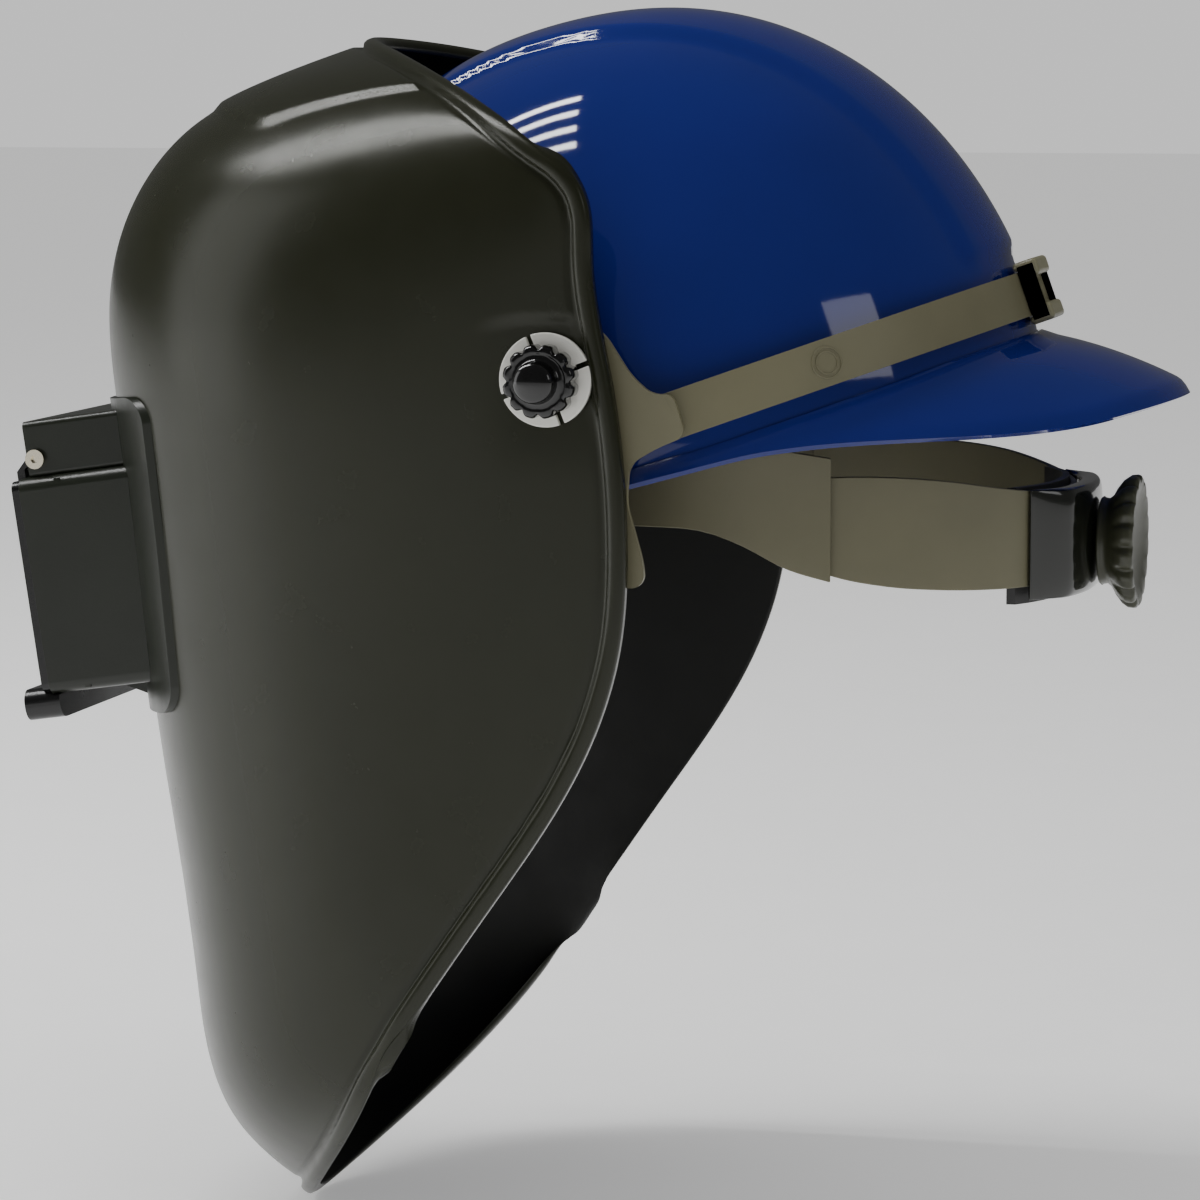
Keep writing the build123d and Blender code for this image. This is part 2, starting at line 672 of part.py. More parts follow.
def make_ratchet_cover():
    """Outer half of the ratchet, a curved glossy cover with a neck hole."""
    sector = Box(2 * ARC_HALF, 400, 400) & Pos(0, 200, 0) * Box(400, 400, 400)
    ring = oval_ring(NAPE_HALF_X + 9, BAND_HALF_Y + RATCHET_REACH, RATCHET_REACH - SEAT) & sector
    cover = ring & slab_x([(60, 4), (92, 4), (110, 1.5), (110, -32), (60, -32)], -90, 90)
    hollow = Pos(0, BAND_HALF_Y, RATCHET_Z) * Rot(-90, 0, 0) * Cylinder(PINION_R + 2, 8)
    shaft = Pos(0, BAND_HALF_Y, RATCHET_Z) * Rot(-90, 0, 0) * Cylinder(RATCHET_SHAFT_R + RUN, 60)
    return cover - hollow - shaft


def y_bar(radius, y0, y1):
    """A round bar along Y on the ratchet's axis."""
    return Pos(0, y0, RATCHET_Z) * Rot(-90, 0, 0) * extrude(Circle(radius), y1 - y0)


def make_ratchet_knob():
    """Scalloped disc knob on a neck, with its shaft."""
    start = BAND_HALF_Y + RATCHET_REACH + GAP
    knob = y_bar(14, start, start + 6) + y_bar(RATCHET_R, start + 3, start + 12.5)
    for k in range(16):
        angle = 2 * math.pi * k / 16
        place = Pos((RATCHET_R + 1.6) * math.cos(angle), 0, (RATCHET_R + 1.6) * math.sin(angle))
        knob -= place * y_bar(3.2, start + 1, start + 14)
    dish = Pos(0, start + 12.5 + 28, RATCHET_Z) * Sphere(31.5)
    return knob - dish + y_bar(RATCHET_SHAFT_R, BAND_HALF_Y + 2, start + 1)


def make_pinion():
    """Pinion on the knob's shaft, inside the rack opening of the nape band."""
    gear = y_bar(PINION_R - 1, BAND_HALF_Y - 2, BAND_HALF_Y + 2)
    for k in range(12):
        tooth = Rot(0, 30 * k, 0) * Pos(PINION_R - 0.8, 0, 0) * Box(1.8, 4, 1.3)
        gear += Pos(0, BAND_HALF_Y, RATCHET_Z) * tooth
    return gear


def crown_strap(turn, drop):
    """Webbing strap over the head, between two opposite keys."""
    long = HAT_LENGTH - STRAP_SIDE - drop
    high = HAT_HEIGHT - STRAP_BELOW - drop
    arch = Ellipse(long, high) - Ellipse(long - WEB_THICK, high - WEB_THICK)
    arch &= Pos(0, 200) * Rectangle(600, 400)
    strap = extrude(Rot(90, 0, 0) * arch, WEB_WIDTH / 2, both=True)
    squeeze = (HAT_WIDTH - 12) / HAT_LENGTH
    return in_hat(scale(Rot(0, 0, turn) * strap, by=(squeeze, 1, 1)))


def key_block(turn):
    """Hanger key between the shell wall and a crown strap's end."""
    key = Rot(0, 0, turn) * Pos(HAT_LENGTH - 14, 0, -1) * Box(11, 20, 9)
    squeeze = (HAT_WIDTH - 5) / HAT_LENGTH
    return scale(key, by=(squeeze, 1, 1))


def make_suspension_keys():
    """Four keys that clip into the shell and carry the straps and the headband."""
    group = []
    inside = dome(HAT_LENGTH - HAT_WALL - SEAT, HAT_WIDTH - HAT_WALL - SEAT, HAT_HEIGHT - 3, -30)
    band = oval(BAND_HALF_X + 0.1, BAND_HALF_Y + 0.1, POWER, -60, 60)
    for turn in (50, 130, -50, -130):
        arm = Rot(0, 0, turn) * Pos(HAT_LENGTH - 26, 0, -5.5) * Box(44, 12, 2.4)
        key = in_hat((key_block(turn) + arm) & inside) - band
        group.append(key)
    return Compound([k.solids().sort_by(SortBy.VOLUME)[-1] for k in group])


def main():
    """Write one STEP file per piece."""
    os.makedirs("parts", exist_ok=True)
    pieces = {
        "hat_shell": make_hat_shell(),
        "crown_strap_upper": crown_strap(50, 0),
        "crown_strap_lower": crown_strap(130, 1.6),
        "suspension_keys": make_suspension_keys(),
        "headband": make_headband(),
        "sweatband": make_sweatband(),
        "strap_buckle": make_buckle(),
        "nape_band": make_nape_band(),
        "ratchet_housing": make_ratchet_housing(),
        "ratchet_cover": make_ratchet_cover(),
        "ratchet_knob": make_ratchet_knob(),
        "ratchet_pinion": make_pinion(),
        "shield_shell": make_shield_shell(),
        "housing_pad": make_housing_pad(),
        "lens_housing": make_lens_housing(),
        "clamp_frame": make_clamp_frame(),
        "clamp_screws": make_clamp_screws(),
        "fixed_plate_gasket": lens_ring(PLATE_W, PLATE_H, PLATE_W - 7, PLATE_H - 7, -15, -14),
        "fixed_plate": lens_block(PLATE_W, -PLATE_H / 2, PLATE_H / 2, -18, -15),
        "plate_spring": lens_ring(PLATE_W, PLATE_H, PLATE_W - 5, PLATE_H - 5, -19.2, -18),
        "detent_leaf": make_detent_leaf(),
        "lift_frame": make_lift_frame(),
        "lift_grip": make_lift_grip(),
        "cover_plate": lens_block(PLATE_W, -PLATE_H / 2, PLATE_H / 2, 0.8, 2.0),
        "filter_gasket": lens_ring(PLATE_W, PLATE_H, PLATE_W - 7, PLATE_H - 7, -0.2, 0.8),
        "filter_plate": lens_block(PLATE_W, -PLATE_H / 2, PLATE_H / 2, -3.4, -0.2),
        "filter_clip": lens_ring(PLATE_W, PLATE_H, PLATE_W - 5, PLATE_H - 5, -4.6, -3.4),
    }
    paired = {
        "shield_adapter": make_adapter(),
        "pivot_stud": make_stud(),
        "friction_washer": make_friction_washer(),
        "stop_disc": make_stop_disc(),
        "tension_knob": make_tension_knob(),
        "hinge_screw": make_hinge_screw(),
    }
    for name, shape in paired.items():
        pieces[name + "_left"] = shape
        pieces[name + "_right"] = mirrored(shape)
    for name, shape in pieces.items():
        export_step(shape, f"parts/{name}.step")


if __name__ == "__main__":
    main()
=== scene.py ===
import bisect
import logging
import math
from dataclasses import dataclass
from enum import Enum
from typing import Callable, Iterable

import bmesh
import bpy
from mathutils import Matrix, Vector, geometry, kdtree


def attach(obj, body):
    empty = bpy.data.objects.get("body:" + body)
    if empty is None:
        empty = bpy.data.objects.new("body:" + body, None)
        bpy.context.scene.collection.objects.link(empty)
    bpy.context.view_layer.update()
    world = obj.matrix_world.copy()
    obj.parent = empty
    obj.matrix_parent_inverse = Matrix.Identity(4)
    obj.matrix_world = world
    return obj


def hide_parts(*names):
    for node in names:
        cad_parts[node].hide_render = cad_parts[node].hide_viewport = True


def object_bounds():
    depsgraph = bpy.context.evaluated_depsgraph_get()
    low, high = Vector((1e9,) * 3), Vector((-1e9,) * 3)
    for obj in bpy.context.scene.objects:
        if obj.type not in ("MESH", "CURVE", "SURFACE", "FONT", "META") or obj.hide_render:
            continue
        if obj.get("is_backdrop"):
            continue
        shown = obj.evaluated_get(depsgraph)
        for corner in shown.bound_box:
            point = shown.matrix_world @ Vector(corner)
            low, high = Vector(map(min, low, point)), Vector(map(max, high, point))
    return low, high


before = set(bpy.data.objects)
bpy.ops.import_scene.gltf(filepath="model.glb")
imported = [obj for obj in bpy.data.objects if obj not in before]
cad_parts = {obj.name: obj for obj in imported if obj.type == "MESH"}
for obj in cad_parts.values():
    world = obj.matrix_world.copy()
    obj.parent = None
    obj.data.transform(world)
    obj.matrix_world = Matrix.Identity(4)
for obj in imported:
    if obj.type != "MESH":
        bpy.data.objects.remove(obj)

log = logging.getLogger("welding_helmet")
MM = 0.001
FINISH_MARK = "_finish"
PIVOT = (-41.5, 39.7)             # pivot axis of the shield, (y, z) in millimetres
HAT_CENTRE = (-32.5, 16.3)        # middle of the dome's base, (y, z) in millimetres
HAT_TILT = 15.0                   # degrees that the hat leans back
BAND_POWER = 2.3                  # squareness of the head ring's oval
HAT_MIDDLE = Vector((0, *HAT_CENTRE)) * MM
SIDES = {1: "left", -1: "right"}
Colour = tuple[float, float, float]
Mesh = bmesh.types.BMesh
Vert = bmesh.types.BMVert
Grid = dict[int, dict[int, Vert]]
Piece = bpy.types.Object
Material = bpy.types.Material
Tree = bpy.types.NodeTree
Socket = bpy.types.NodeSocket


# ---------------------------------------------------------------- finishes
class Skin(Enum):
    """How the surface of a finish is made up."""

    POLISHED = "polished"    # glossy moulding with faint smudges
    GRAINED = "grained"      # fine moulded grain
    DRAWN = "drawn"          # metal with fine turning lines
    WOVEN = "woven"          # webbing
    SOFT = "soft"            # brushed cloth over foam


def started(name: str) -> tuple[Material, Tree, bpy.types.ShaderNode, Socket]:
    """An empty finish.

    Args:
        name: finish name.

    Returns:
        The material, its nodes, its shader and its object coordinates.
    """
    made = bpy.data.materials.new(name + FINISH_MARK)
    made.use_nodes = True
    tree = made.node_tree
    place = tree.nodes.new("ShaderNodeTexCoord").outputs["Object"]
    return made, tree, tree.nodes["Principled BSDF"], place


def noise(tree: Tree, place: Socket, scale: float, detail: float) -> Socket:
    """A noise value read from object coordinates.

    Args:
        tree: the material's nodes.
        place: coordinates to read.
        scale: features per metre.
        detail: octaves.

    Returns:
        The noise factor.
    """
    made = tree.nodes.new("ShaderNodeTexNoise")
    made.inputs["Scale"].default_value = scale
    made.inputs["Detail"].default_value = detail
    tree.links.new(place, made.inputs["Vector"])
    return made.outputs["Fac"]


def ranged(tree: Tree, value: Socket, source: tuple[float, float], low: float, high: float) -> Socket:
    """Maps a value from one range onto another.

    Args:
        tree: the material's nodes.
        value: the value.
        source: its range.
        low: result at the low end.
        high: result at the high end.

    Returns:
        The mapped value.
    """
    spread = tree.nodes.new("ShaderNodeMapRange")
    for name, number in zip(("From Min", "From Max", "To Min", "To Max"), (*source, low, high)):
        spread.inputs[name].default_value = number
    tree.links.new(value, spread.inputs["Value"])
    return spread.outputs["Result"]


@dataclass(frozen=True)
class Finish:
    """One opaque finish.

    Args:
        name: material name.
        colour: base colour, linear.
        rough: roughness in the middle of its range.
        skin: how the surface is made up.
        metal: metallic share.
        coat: clear coat over the colour.
        grain: size of the grain in metres.
        relief: depth of the grain in metres.
        mottle: how far the colour drifts, as a share.
        sheen: soft fabric sheen.
        gloss: specular level.
    """

    name: str
    colour: Colour
    rough: float
    skin: Skin = Skin.GRAINED
    metal: float = 0.0
    coat: float = 0.0
    grain: float = 0.0006
    relief: float = 0.00003
    mottle: float = 0.10
    sheen: float = 0.0
    gloss: float = 0.5

    def material(self) -> Material:
        """Builds the finish once and returns it."""
        found = bpy.data.materials.get(self.name + FINISH_MARK)
        if found:
            return found
        made, tree, shader, place = started(self.name)
        levels = {"Metallic": self.metal, "Coat Weight": self.coat, "Coat Roughness": 0.03,
                  "Sheen Weight": self.sheen, "Specular IOR Level": self.gloss}
        for name, level in levels.items():
            shader.inputs[name].default_value = level
        drift = noise(tree, place, 22.0, 4.0)
        smudge = noise(tree, place, 70.0, 6.0)
        tree.links.new(self._colours(tree, drift), shader.inputs["Base Color"])
        rough = ranged(tree, smudge, (0.3, 0.7), self.rough * 0.92, min(1.0, self.rough * 1.12))
        tree.links.new(rough, shader.inputs["Roughness"])
        tree.links.new(self._bump(tree, place), shader.inputs["Normal"])
        return made

    def _colours(self, tree: Tree, drift: Socket) -> Socket:
        """Colour that drifts a little over the piece.

        Args:
            tree: the material's nodes.
            drift: slow noise.

        Returns:
            The colour.
        """
        ramp = tree.nodes.new("ShaderNodeValToRGB")
        ramp.color_ramp.elements[0].position = 0.32
        ramp.color_ramp.elements[1].position = 0.68
        low = [c * (1 - self.mottle) for c in self.colour]
        high = [min(1.0, c * (1 + self.mottle)) for c in self.colour]
        ramp.color_ramp.elements[0].color = (*low, 1)
        ramp.color_ramp.elements[1].color = (*high, 1)
        tree.links.new(drift, ramp.inputs["Fac"])
        return ramp.outputs["Color"]

    def _bump(self, tree: Tree, place: Socket) -> Socket:
        """Fine relief of the skin.

        Args:
            tree: the material's nodes.
            place: coordinates to read.

        Returns:
            The bumped normal.
        """
        bump = tree.nodes.new("ShaderNodeBump")
        bump.inputs["Strength"].default_value = 1.0
        bump.inputs["Distance"].default_value = self.relief
        if self.skin in (Skin.DRAWN, Skin.WOVEN):
            wave = tree.nodes.new("ShaderNodeTexWave")
            wave.wave_type = "RINGS" if self.skin is Skin.DRAWN else "BANDS"
            wave.bands_direction = "DIAGONAL"
            wave.inputs["Scale"].default_value = 0.3 / self.grain
            wave.inputs["Distortion"].default_value = 0.6
            tree.links.new(place, wave.inputs["Vector"])
            height = wave.outputs["Fac"]
        else:
            height = noise(tree, place, 1.0 / self.grain, 3.0)
        tree.links.new(height, bump.inputs["Height"])
        return bump.outputs["Normal"]


@dataclass(frozen=True)
class PlateGlass:
    """A polished plate of glass or clear plastic.

    Args:
        name: material name.
        tint: colour of the plate.
        clear: how much light passes.
        rough: roughness of its faces.
    """

    name: str
    tint: Colour
    clear: float
    rough: float = 0.03

    def material(self) -> Material:
        """Builds the plate's material once and returns it."""
        found = bpy.data.materials.get(self.name + FINISH_MARK)
        if found:
            return found
        made, tree, shader, place = started(self.name)
        shader.inputs["Base Color"].default_value = (*self.tint, 1)
        shader.inputs["Transmission Weight"].default_value = self.clear
        shader.inputs["IOR"].default_value = 1.5
        dust = noise(tree, place, 90.0, 8.0)
        rough = ranged(tree, dust, (0.45, 0.8), self.rough, self.rough + 0.10)
        tree.links.new(rough, shader.inputs["Roughness"])
        return made


HAT_BLUE = Finish("hat_blue", (0.008, 0.017, 0.160), 0.05, Skin.POLISHED, coat=0.2, grain=0.004,
                  relief=0.000006, mottle=0.04)
SHIELD_GREY = Finish("shield_grey", (0.018, 0.0195, 0.010), 0.25, Skin.POLISHED, metal=0.15, gloss=0.35,
                     grain=0.0009, relief=0.000008, mottle=0.03)
# Painted shade: the inside of the shell is the same plastic as its outside, painted near-black to stand in
# for the shade inside the shell.
SHIELD_SHADE_INSIDE = Finish("shield_shade_inside", (0.004, 0.0042, 0.0025), 0.5, grain=0.0012)
HOUSING_GREY = Finish("housing_grey", (0.013, 0.0155, 0.010), 0.30, Skin.GRAINED, gloss=0.4)
BLACK_GLOSS = Finish("black_gloss", (0.003, 0.003, 0.003), 0.13, Skin.POLISHED, coat=0.4, grain=0.003,
                     relief=0.000006)
BLACK_SATIN = Finish("black_satin", (0.004, 0.004, 0.004), 0.25)
OLIVE_NYLON = Finish("olive_nylon", (0.165, 0.155, 0.092), 0.46, grain=0.0005)
BUCKLE_NYLON = Finish("buckle_nylon", (0.22, 0.21, 0.130), 0.40, grain=0.0005)
COVER_BLACK = Finish("cover_black", (0.010, 0.011, 0.008), 0.14, Skin.POLISHED, coat=0.5, grain=0.003,
                     relief=0.000008)
KNOB_OLIVE = Finish("knob_olive", (0.042, 0.044, 0.025), 0.34)
DISC_WHITE = Finish("disc_white", (0.80, 0.79, 0.73), 0.18, Skin.POLISHED, grain=0.002, relief=0.00001)
GASKET = Finish("gasket_rubber", (0.015, 0.015, 0.015), 0.7)
NICKEL = Finish("nickel", (0.70, 0.65, 0.52), 0.22, Skin.DRAWN, metal=1.0, grain=0.0002, relief=0.000004)
SPRING_STEEL = Finish("spring_steel", (0.55, 0.55, 0.56), 0.28, Skin.DRAWN, metal=1.0, grain=0.0002,
                      relief=0.000004)
WEBBING = Finish("webbing", (0.035, 0.035, 0.04), 0.85, Skin.WOVEN, grain=0.0009, relief=0.00018, sheen=0.25)
BROW_CLOTH = Finish("brow_cloth", (0.045, 0.036, 0.030), 0.92, Skin.SOFT, grain=0.0007, relief=0.00012,
                    sheen=0.4)
FIBRE = Finish("red_fibre", (0.20, 0.045, 0.025), 0.6)
KEY_BLACK = Finish("key_black", (0.03, 0.03, 0.03), 0.45)
CLEAR_PLATE = PlateGlass("clear_plate", (0.93, 0.96, 0.95), 1.0)
FILTER_GLASS = PlateGlass("filter_glass", (0.02, 0.06, 0.03), 0.5)
FLOOR_WHITE = Finish("floor_white", (0.92, 0.92, 0.915), 0.7, mottle=0.01, relief=0.000001)


# ---------------------------------------------------------------- mesh tools
def smooth(t: float) -> float:
    """Smooth step from 0 to 1."""
    t = min(1.0, max(0.0, t))
    return t * t * (3 - 2 * t)


def shown(name: str, data: bpy.types.ID) -> Piece:
    """Puts a mesh, light or camera in the scene.

    Args:
        name: object name.
        data: what it shows.

    Returns:
        The new object.
    """
    made = bpy.data.objects.new(name, data)
    bpy.context.scene.collection.objects.link(made)
    return made


def finished(name: str, made: Mesh, finish: Finish | PlateGlass, body: str,
             nodes: Iterable[str] = ()) -> Piece:
    """Turns a bmesh into a piece that rides on a body.

    Args:
        name: piece name.
        made: the shape, in metres in the row frame; it is freed.
        finish: what it is made of.
        body: body that it rides on.
        nodes: CAD nodes that it stands for.

    Returns:
        The new object.
    """
    mesh = bpy.data.meshes.new(name)
    for face in made.faces:
        face.smooth = True
    made.to_mesh(mesh)
    made.free()
    piece = shown(name, mesh)
    mesh.materials.append(finish.material())
    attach(piece, body)
    if nodes:
        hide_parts(*nodes)
    log.info("%s: %d faces on %s", name, len(mesh.polygons), body)
    return piece


def rounded(piece: Piece, width: float, segments: int = 3, angle: float = 35.0) -> Piece:
    """Rounds the sharp edges of a piece.

    Args:
        piece: the piece.
        width: edge radius in metres.
        segments: steps across an edge.
        angle: edges sharper than this many degrees are rounded.

    Returns:
        The same piece.
    """
    bevel = piece.modifiers.new("edges", "BEVEL")
    bevel.width = width
    bevel.segments = segments
    bevel.limit_method = "ANGLE"
    bevel.angle_limit = math.radians(angle)
    bevel.miter_outer = "MITER_ARC"
    bevel.use_clamp_overlap = True
    shade = piece.modifiers.new("normals", "WEIGHTED_NORMAL")
    shade.keep_sharp = True
    return piece


def refined(node: str, finish: Finish | PlateGlass, width: float, body: str,
            segments: int = 3) -> Piece:
    """A welded copy of a CAD piece with rounded edges.

    Args:
        node: the CAD node that it stands for.
        finish: what it is made of.
        width: edge radius in metres.
        body: body that it rides on.
        segments: steps across an edge.

    Returns:
        The new piece.
    """
    made = bmesh.new()
    made.from_mesh(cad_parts[node].data)
    bmesh.ops.remove_doubles(made, verts=made.verts, dist=0.00002)
    bmesh.ops.dissolve_limit(made, angle_limit=math.radians(1.0), verts=made.verts, edges=made.edges)
    piece = finished(node + "_moulded", made, finish, body, [node])
    piece.data.set_sharp_from_angle(angle=math.radians(38))
    return rounded(piece, width, segments)


def dressed(finish: Finish | PlateGlass, *nodes: str) -> None:
    """Gives CAD pieces that keep their own shape a finish."""
    for node in nodes:
        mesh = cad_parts[node].data
        mesh.materials.clear()
        mesh.materials.append(finish.material())
        log.info("%s: keeps its shape, in %s", node, finish.name)


# ---------------------------------------------------------------- shapes shared with the design
class Curve:
    """Smooth side-view curve through (y, z) points, read by share of its length."""

    SAMPLES = 600

    def __init__(self, points: list[tuple[float, float]]) -> None:
        """Fits a natural cubic spline through the points, in millimetres."""
        count = len(points)
        runs = [math.dist(a, b) for a, b in zip(points, points[1:])]
        bends = [self._bends([p[axis] for p in points], runs) for axis in (0, 1)]
        total = sum(runs)
        self.line: list[Vector] = []
        for k in range(self.SAMPLES + 1):
            left = total * k / self.SAMPLES
            i = 0
            while i < count - 2 and left > runs[i]:
                left -= runs[i]
                i += 1
            place = [self._value(points[i][a], points[i + 1][a], bends[a][i], bends[a][i + 1], left, runs[i])
                     for a in (0, 1)]
            self.line.append(Vector((0.0, place[0], place[1])) * MM)

    @staticmethod
    def _bends(values: list[float], runs: list[float]) -> list[float]:
        """Second derivatives of the spline at its points."""
        count = len(values)
        ratio = [0.0] * count
        part = [0.0] * count
        for i in range(1, count - 1):
            slope = (values[i + 1] - values[i]) / runs[i] - (values[i] - values[i - 1]) / runs[i - 1]
            weight = 2 * (runs[i - 1] + runs[i]) - runs[i - 1] * ratio[i - 1]
            ratio[i] = runs[i] / weight
            part[i] = (6 * slope - runs[i - 1] * part[i - 1]) / weight
        bends = [0.0] * count
        for i in range(count - 2, 0, -1):
            bends[i] = part[i] - ratio[i] * bends[i + 1]
        return bends

    @staticmethod
    def _value(a: float, b: float, bend_a: float, bend_b: float, left: float, run: float) -> float:
        """Value of one span at a distance from its start."""
        u = run - left
        cubic = (bend_a * u**3 + bend_b * left**3) / (6 * run)
        return cubic + (a / run - bend_a * run / 6) * u + (b / run - bend_b * run / 6) * left

    def at(self, share: float) -> Vector:
        """The point at a share of the curve's length."""
        return along(self.line, share)


def hat_frame() -> Matrix:
    """From the dome's own millimetres, in metres, to the row frame."""
    return Matrix.Translation(HAT_MIDDLE) @ Matrix.Rotation(math.radians(HAT_TILT), 4, "X")


def ring_point(half_x: float, half_y: float, angle: float) -> tuple[float, float]:
    """A point of the head ring's squarish oval.

    Args:
        half_x: half width.
        half_y: half length.
        angle: direction of the point.

    Returns:
        Its x and y, in the unit of the two sizes.
    """
    c, s = math.cos(angle), math.sin(angle)
    x = math.copysign(half_x * abs(c) ** (2 / BAND_POWER), c)
    y = math.copysign(half_y * abs(s) ** (2 / BAND_POWER), s)
    return x, y


def spun(line: list[Vert], made: Mesh, steps: int, closed: bool = False,
         around: tuple[float, float, float] = (0, 0, 1), angle: float = 2 * math.pi) -> None:
    """Joins points into a line and spins it about an axis through the origin.

    Args:
        line: the points in order.
        made: the mesh that holds them.
        steps: faces round.
        closed: joins the last point to the first.
        around: axis.
        angle: how far the line turns.
    """
    for a, b in zip(line, line[1:] + line[:1] if closed else line[1:]):
        made.edges.new((a, b))
    bmesh.ops.spin(made, geom=made.verts[:] + made.edges[:], cent=(0, 0, 0), axis=around, angle=angle,
                   steps=steps, use_merge=angle >= 2 * math.pi)


def lengths(points: list[Vector]) -> list[float]:
    """Running length of a line of points."""
    total = [0.0]
    for a, b in zip(points, points[1:]):
        total.append(total[-1] + (b - a).length)
    return total


def along(points: list[Vector], share: float, run: list[float] | None = None) -> Vector:
    """The point at a share of the length of a line of close points.

    Args:
        points: the line.
        share: from 0 to 1.
        run: its running length, if it is known already.

    Returns:
        The point.
    """
    run = run or lengths(points)
    goal = min(max(share, 0.0), 1.0) * run[-1]
    i = min(max(bisect.bisect_right(run, goal) - 1, 0), len(points) - 2)
    span = max(run[i + 1] - run[i], 1e-12)
    return points[i].lerp(points[i + 1], (goal - run[i]) / span)


@dataclass
class LensPlace:
    """Frame of the lens housing in millimetres: across, up the face and out of it.

    Args:
        y: centre of the front face.
        z: centre of the front face.
        tilt: degrees that the face looks down.
    """

    y: float = -224.65
    z: float = -33.55
    tilt: float = 8.4

    def local(self, point: Vector) -> Vector:
        """A point across, up and out."""
        turn = math.radians(self.tilt)
        away = point - Vector((0, self.y, self.z))
        up = Vector((0, -math.sin(turn), math.cos(turn)))
        out = Vector((0, -math.cos(turn), -math.sin(turn)))
        return Vector((away.x, away.dot(up), away.dot(out)))


def polar(rows: list[float], steps: int) -> Mesh:
    """A round sheet of rings, closed at its middle.

    Args:
        rows: radius of each ring; the first is 0.
        steps: faces round.

    Returns:
        The sheet, flat on Z = 0.
    """
    made = bmesh.new()
    spun([made.verts.new((r, 0, 0)) for r in rows], made, steps)
    bmesh.ops.remove_doubles(made, verts=made.verts, dist=1e-6)
    return made


def outwards(made: Mesh, centre: Vector) -> None:
    """Turns an open sheet so that its faces point away from a centre.

    Args:
        made: the sheet.
        centre: point behind it.
    """
    made.normal_update()
    balance = sum((f.calc_center_median() - centre).dot(f.normal) * f.calc_area() for f in made.faces)
    if balance < 0:
        bmesh.ops.reverse_faces(made, faces=made.faces)
    made.normal_update()


def trimmed(made: Mesh, keep: Callable[[Vector], bool]) -> None:
    """Drops the faces whose middle fails a test.

    Args:
        made: the mesh.
        keep: the test, given a place in millimetres.
    """
    gone = [f for f in made.faces if not keep(f.calc_center_median() / MM)]
    bmesh.ops.delete(made, geom=gone, context="FACES")


def closed(made: Mesh) -> None:
    """Fills the open ends of a tube and turns its faces outwards."""
    bmesh.ops.holes_fill(made, edges=[e for e in made.edges if e.is_boundary], sides=0)
    bmesh.ops.recalc_face_normals(made, faces=made.faces)


def walled(piece: Piece, wall: float) -> Piece:
    """Gives an open sheet a wall inwards.

    Args:
        piece: the sheet, facing out.
        wall: thickness in metres.

    Returns:
        The same piece.
    """
    solid = piece.modifiers.new("wall", "SOLIDIFY")
    solid.thickness = wall
    solid.offset = -1
    solid.use_quality_normals = True
    return piece


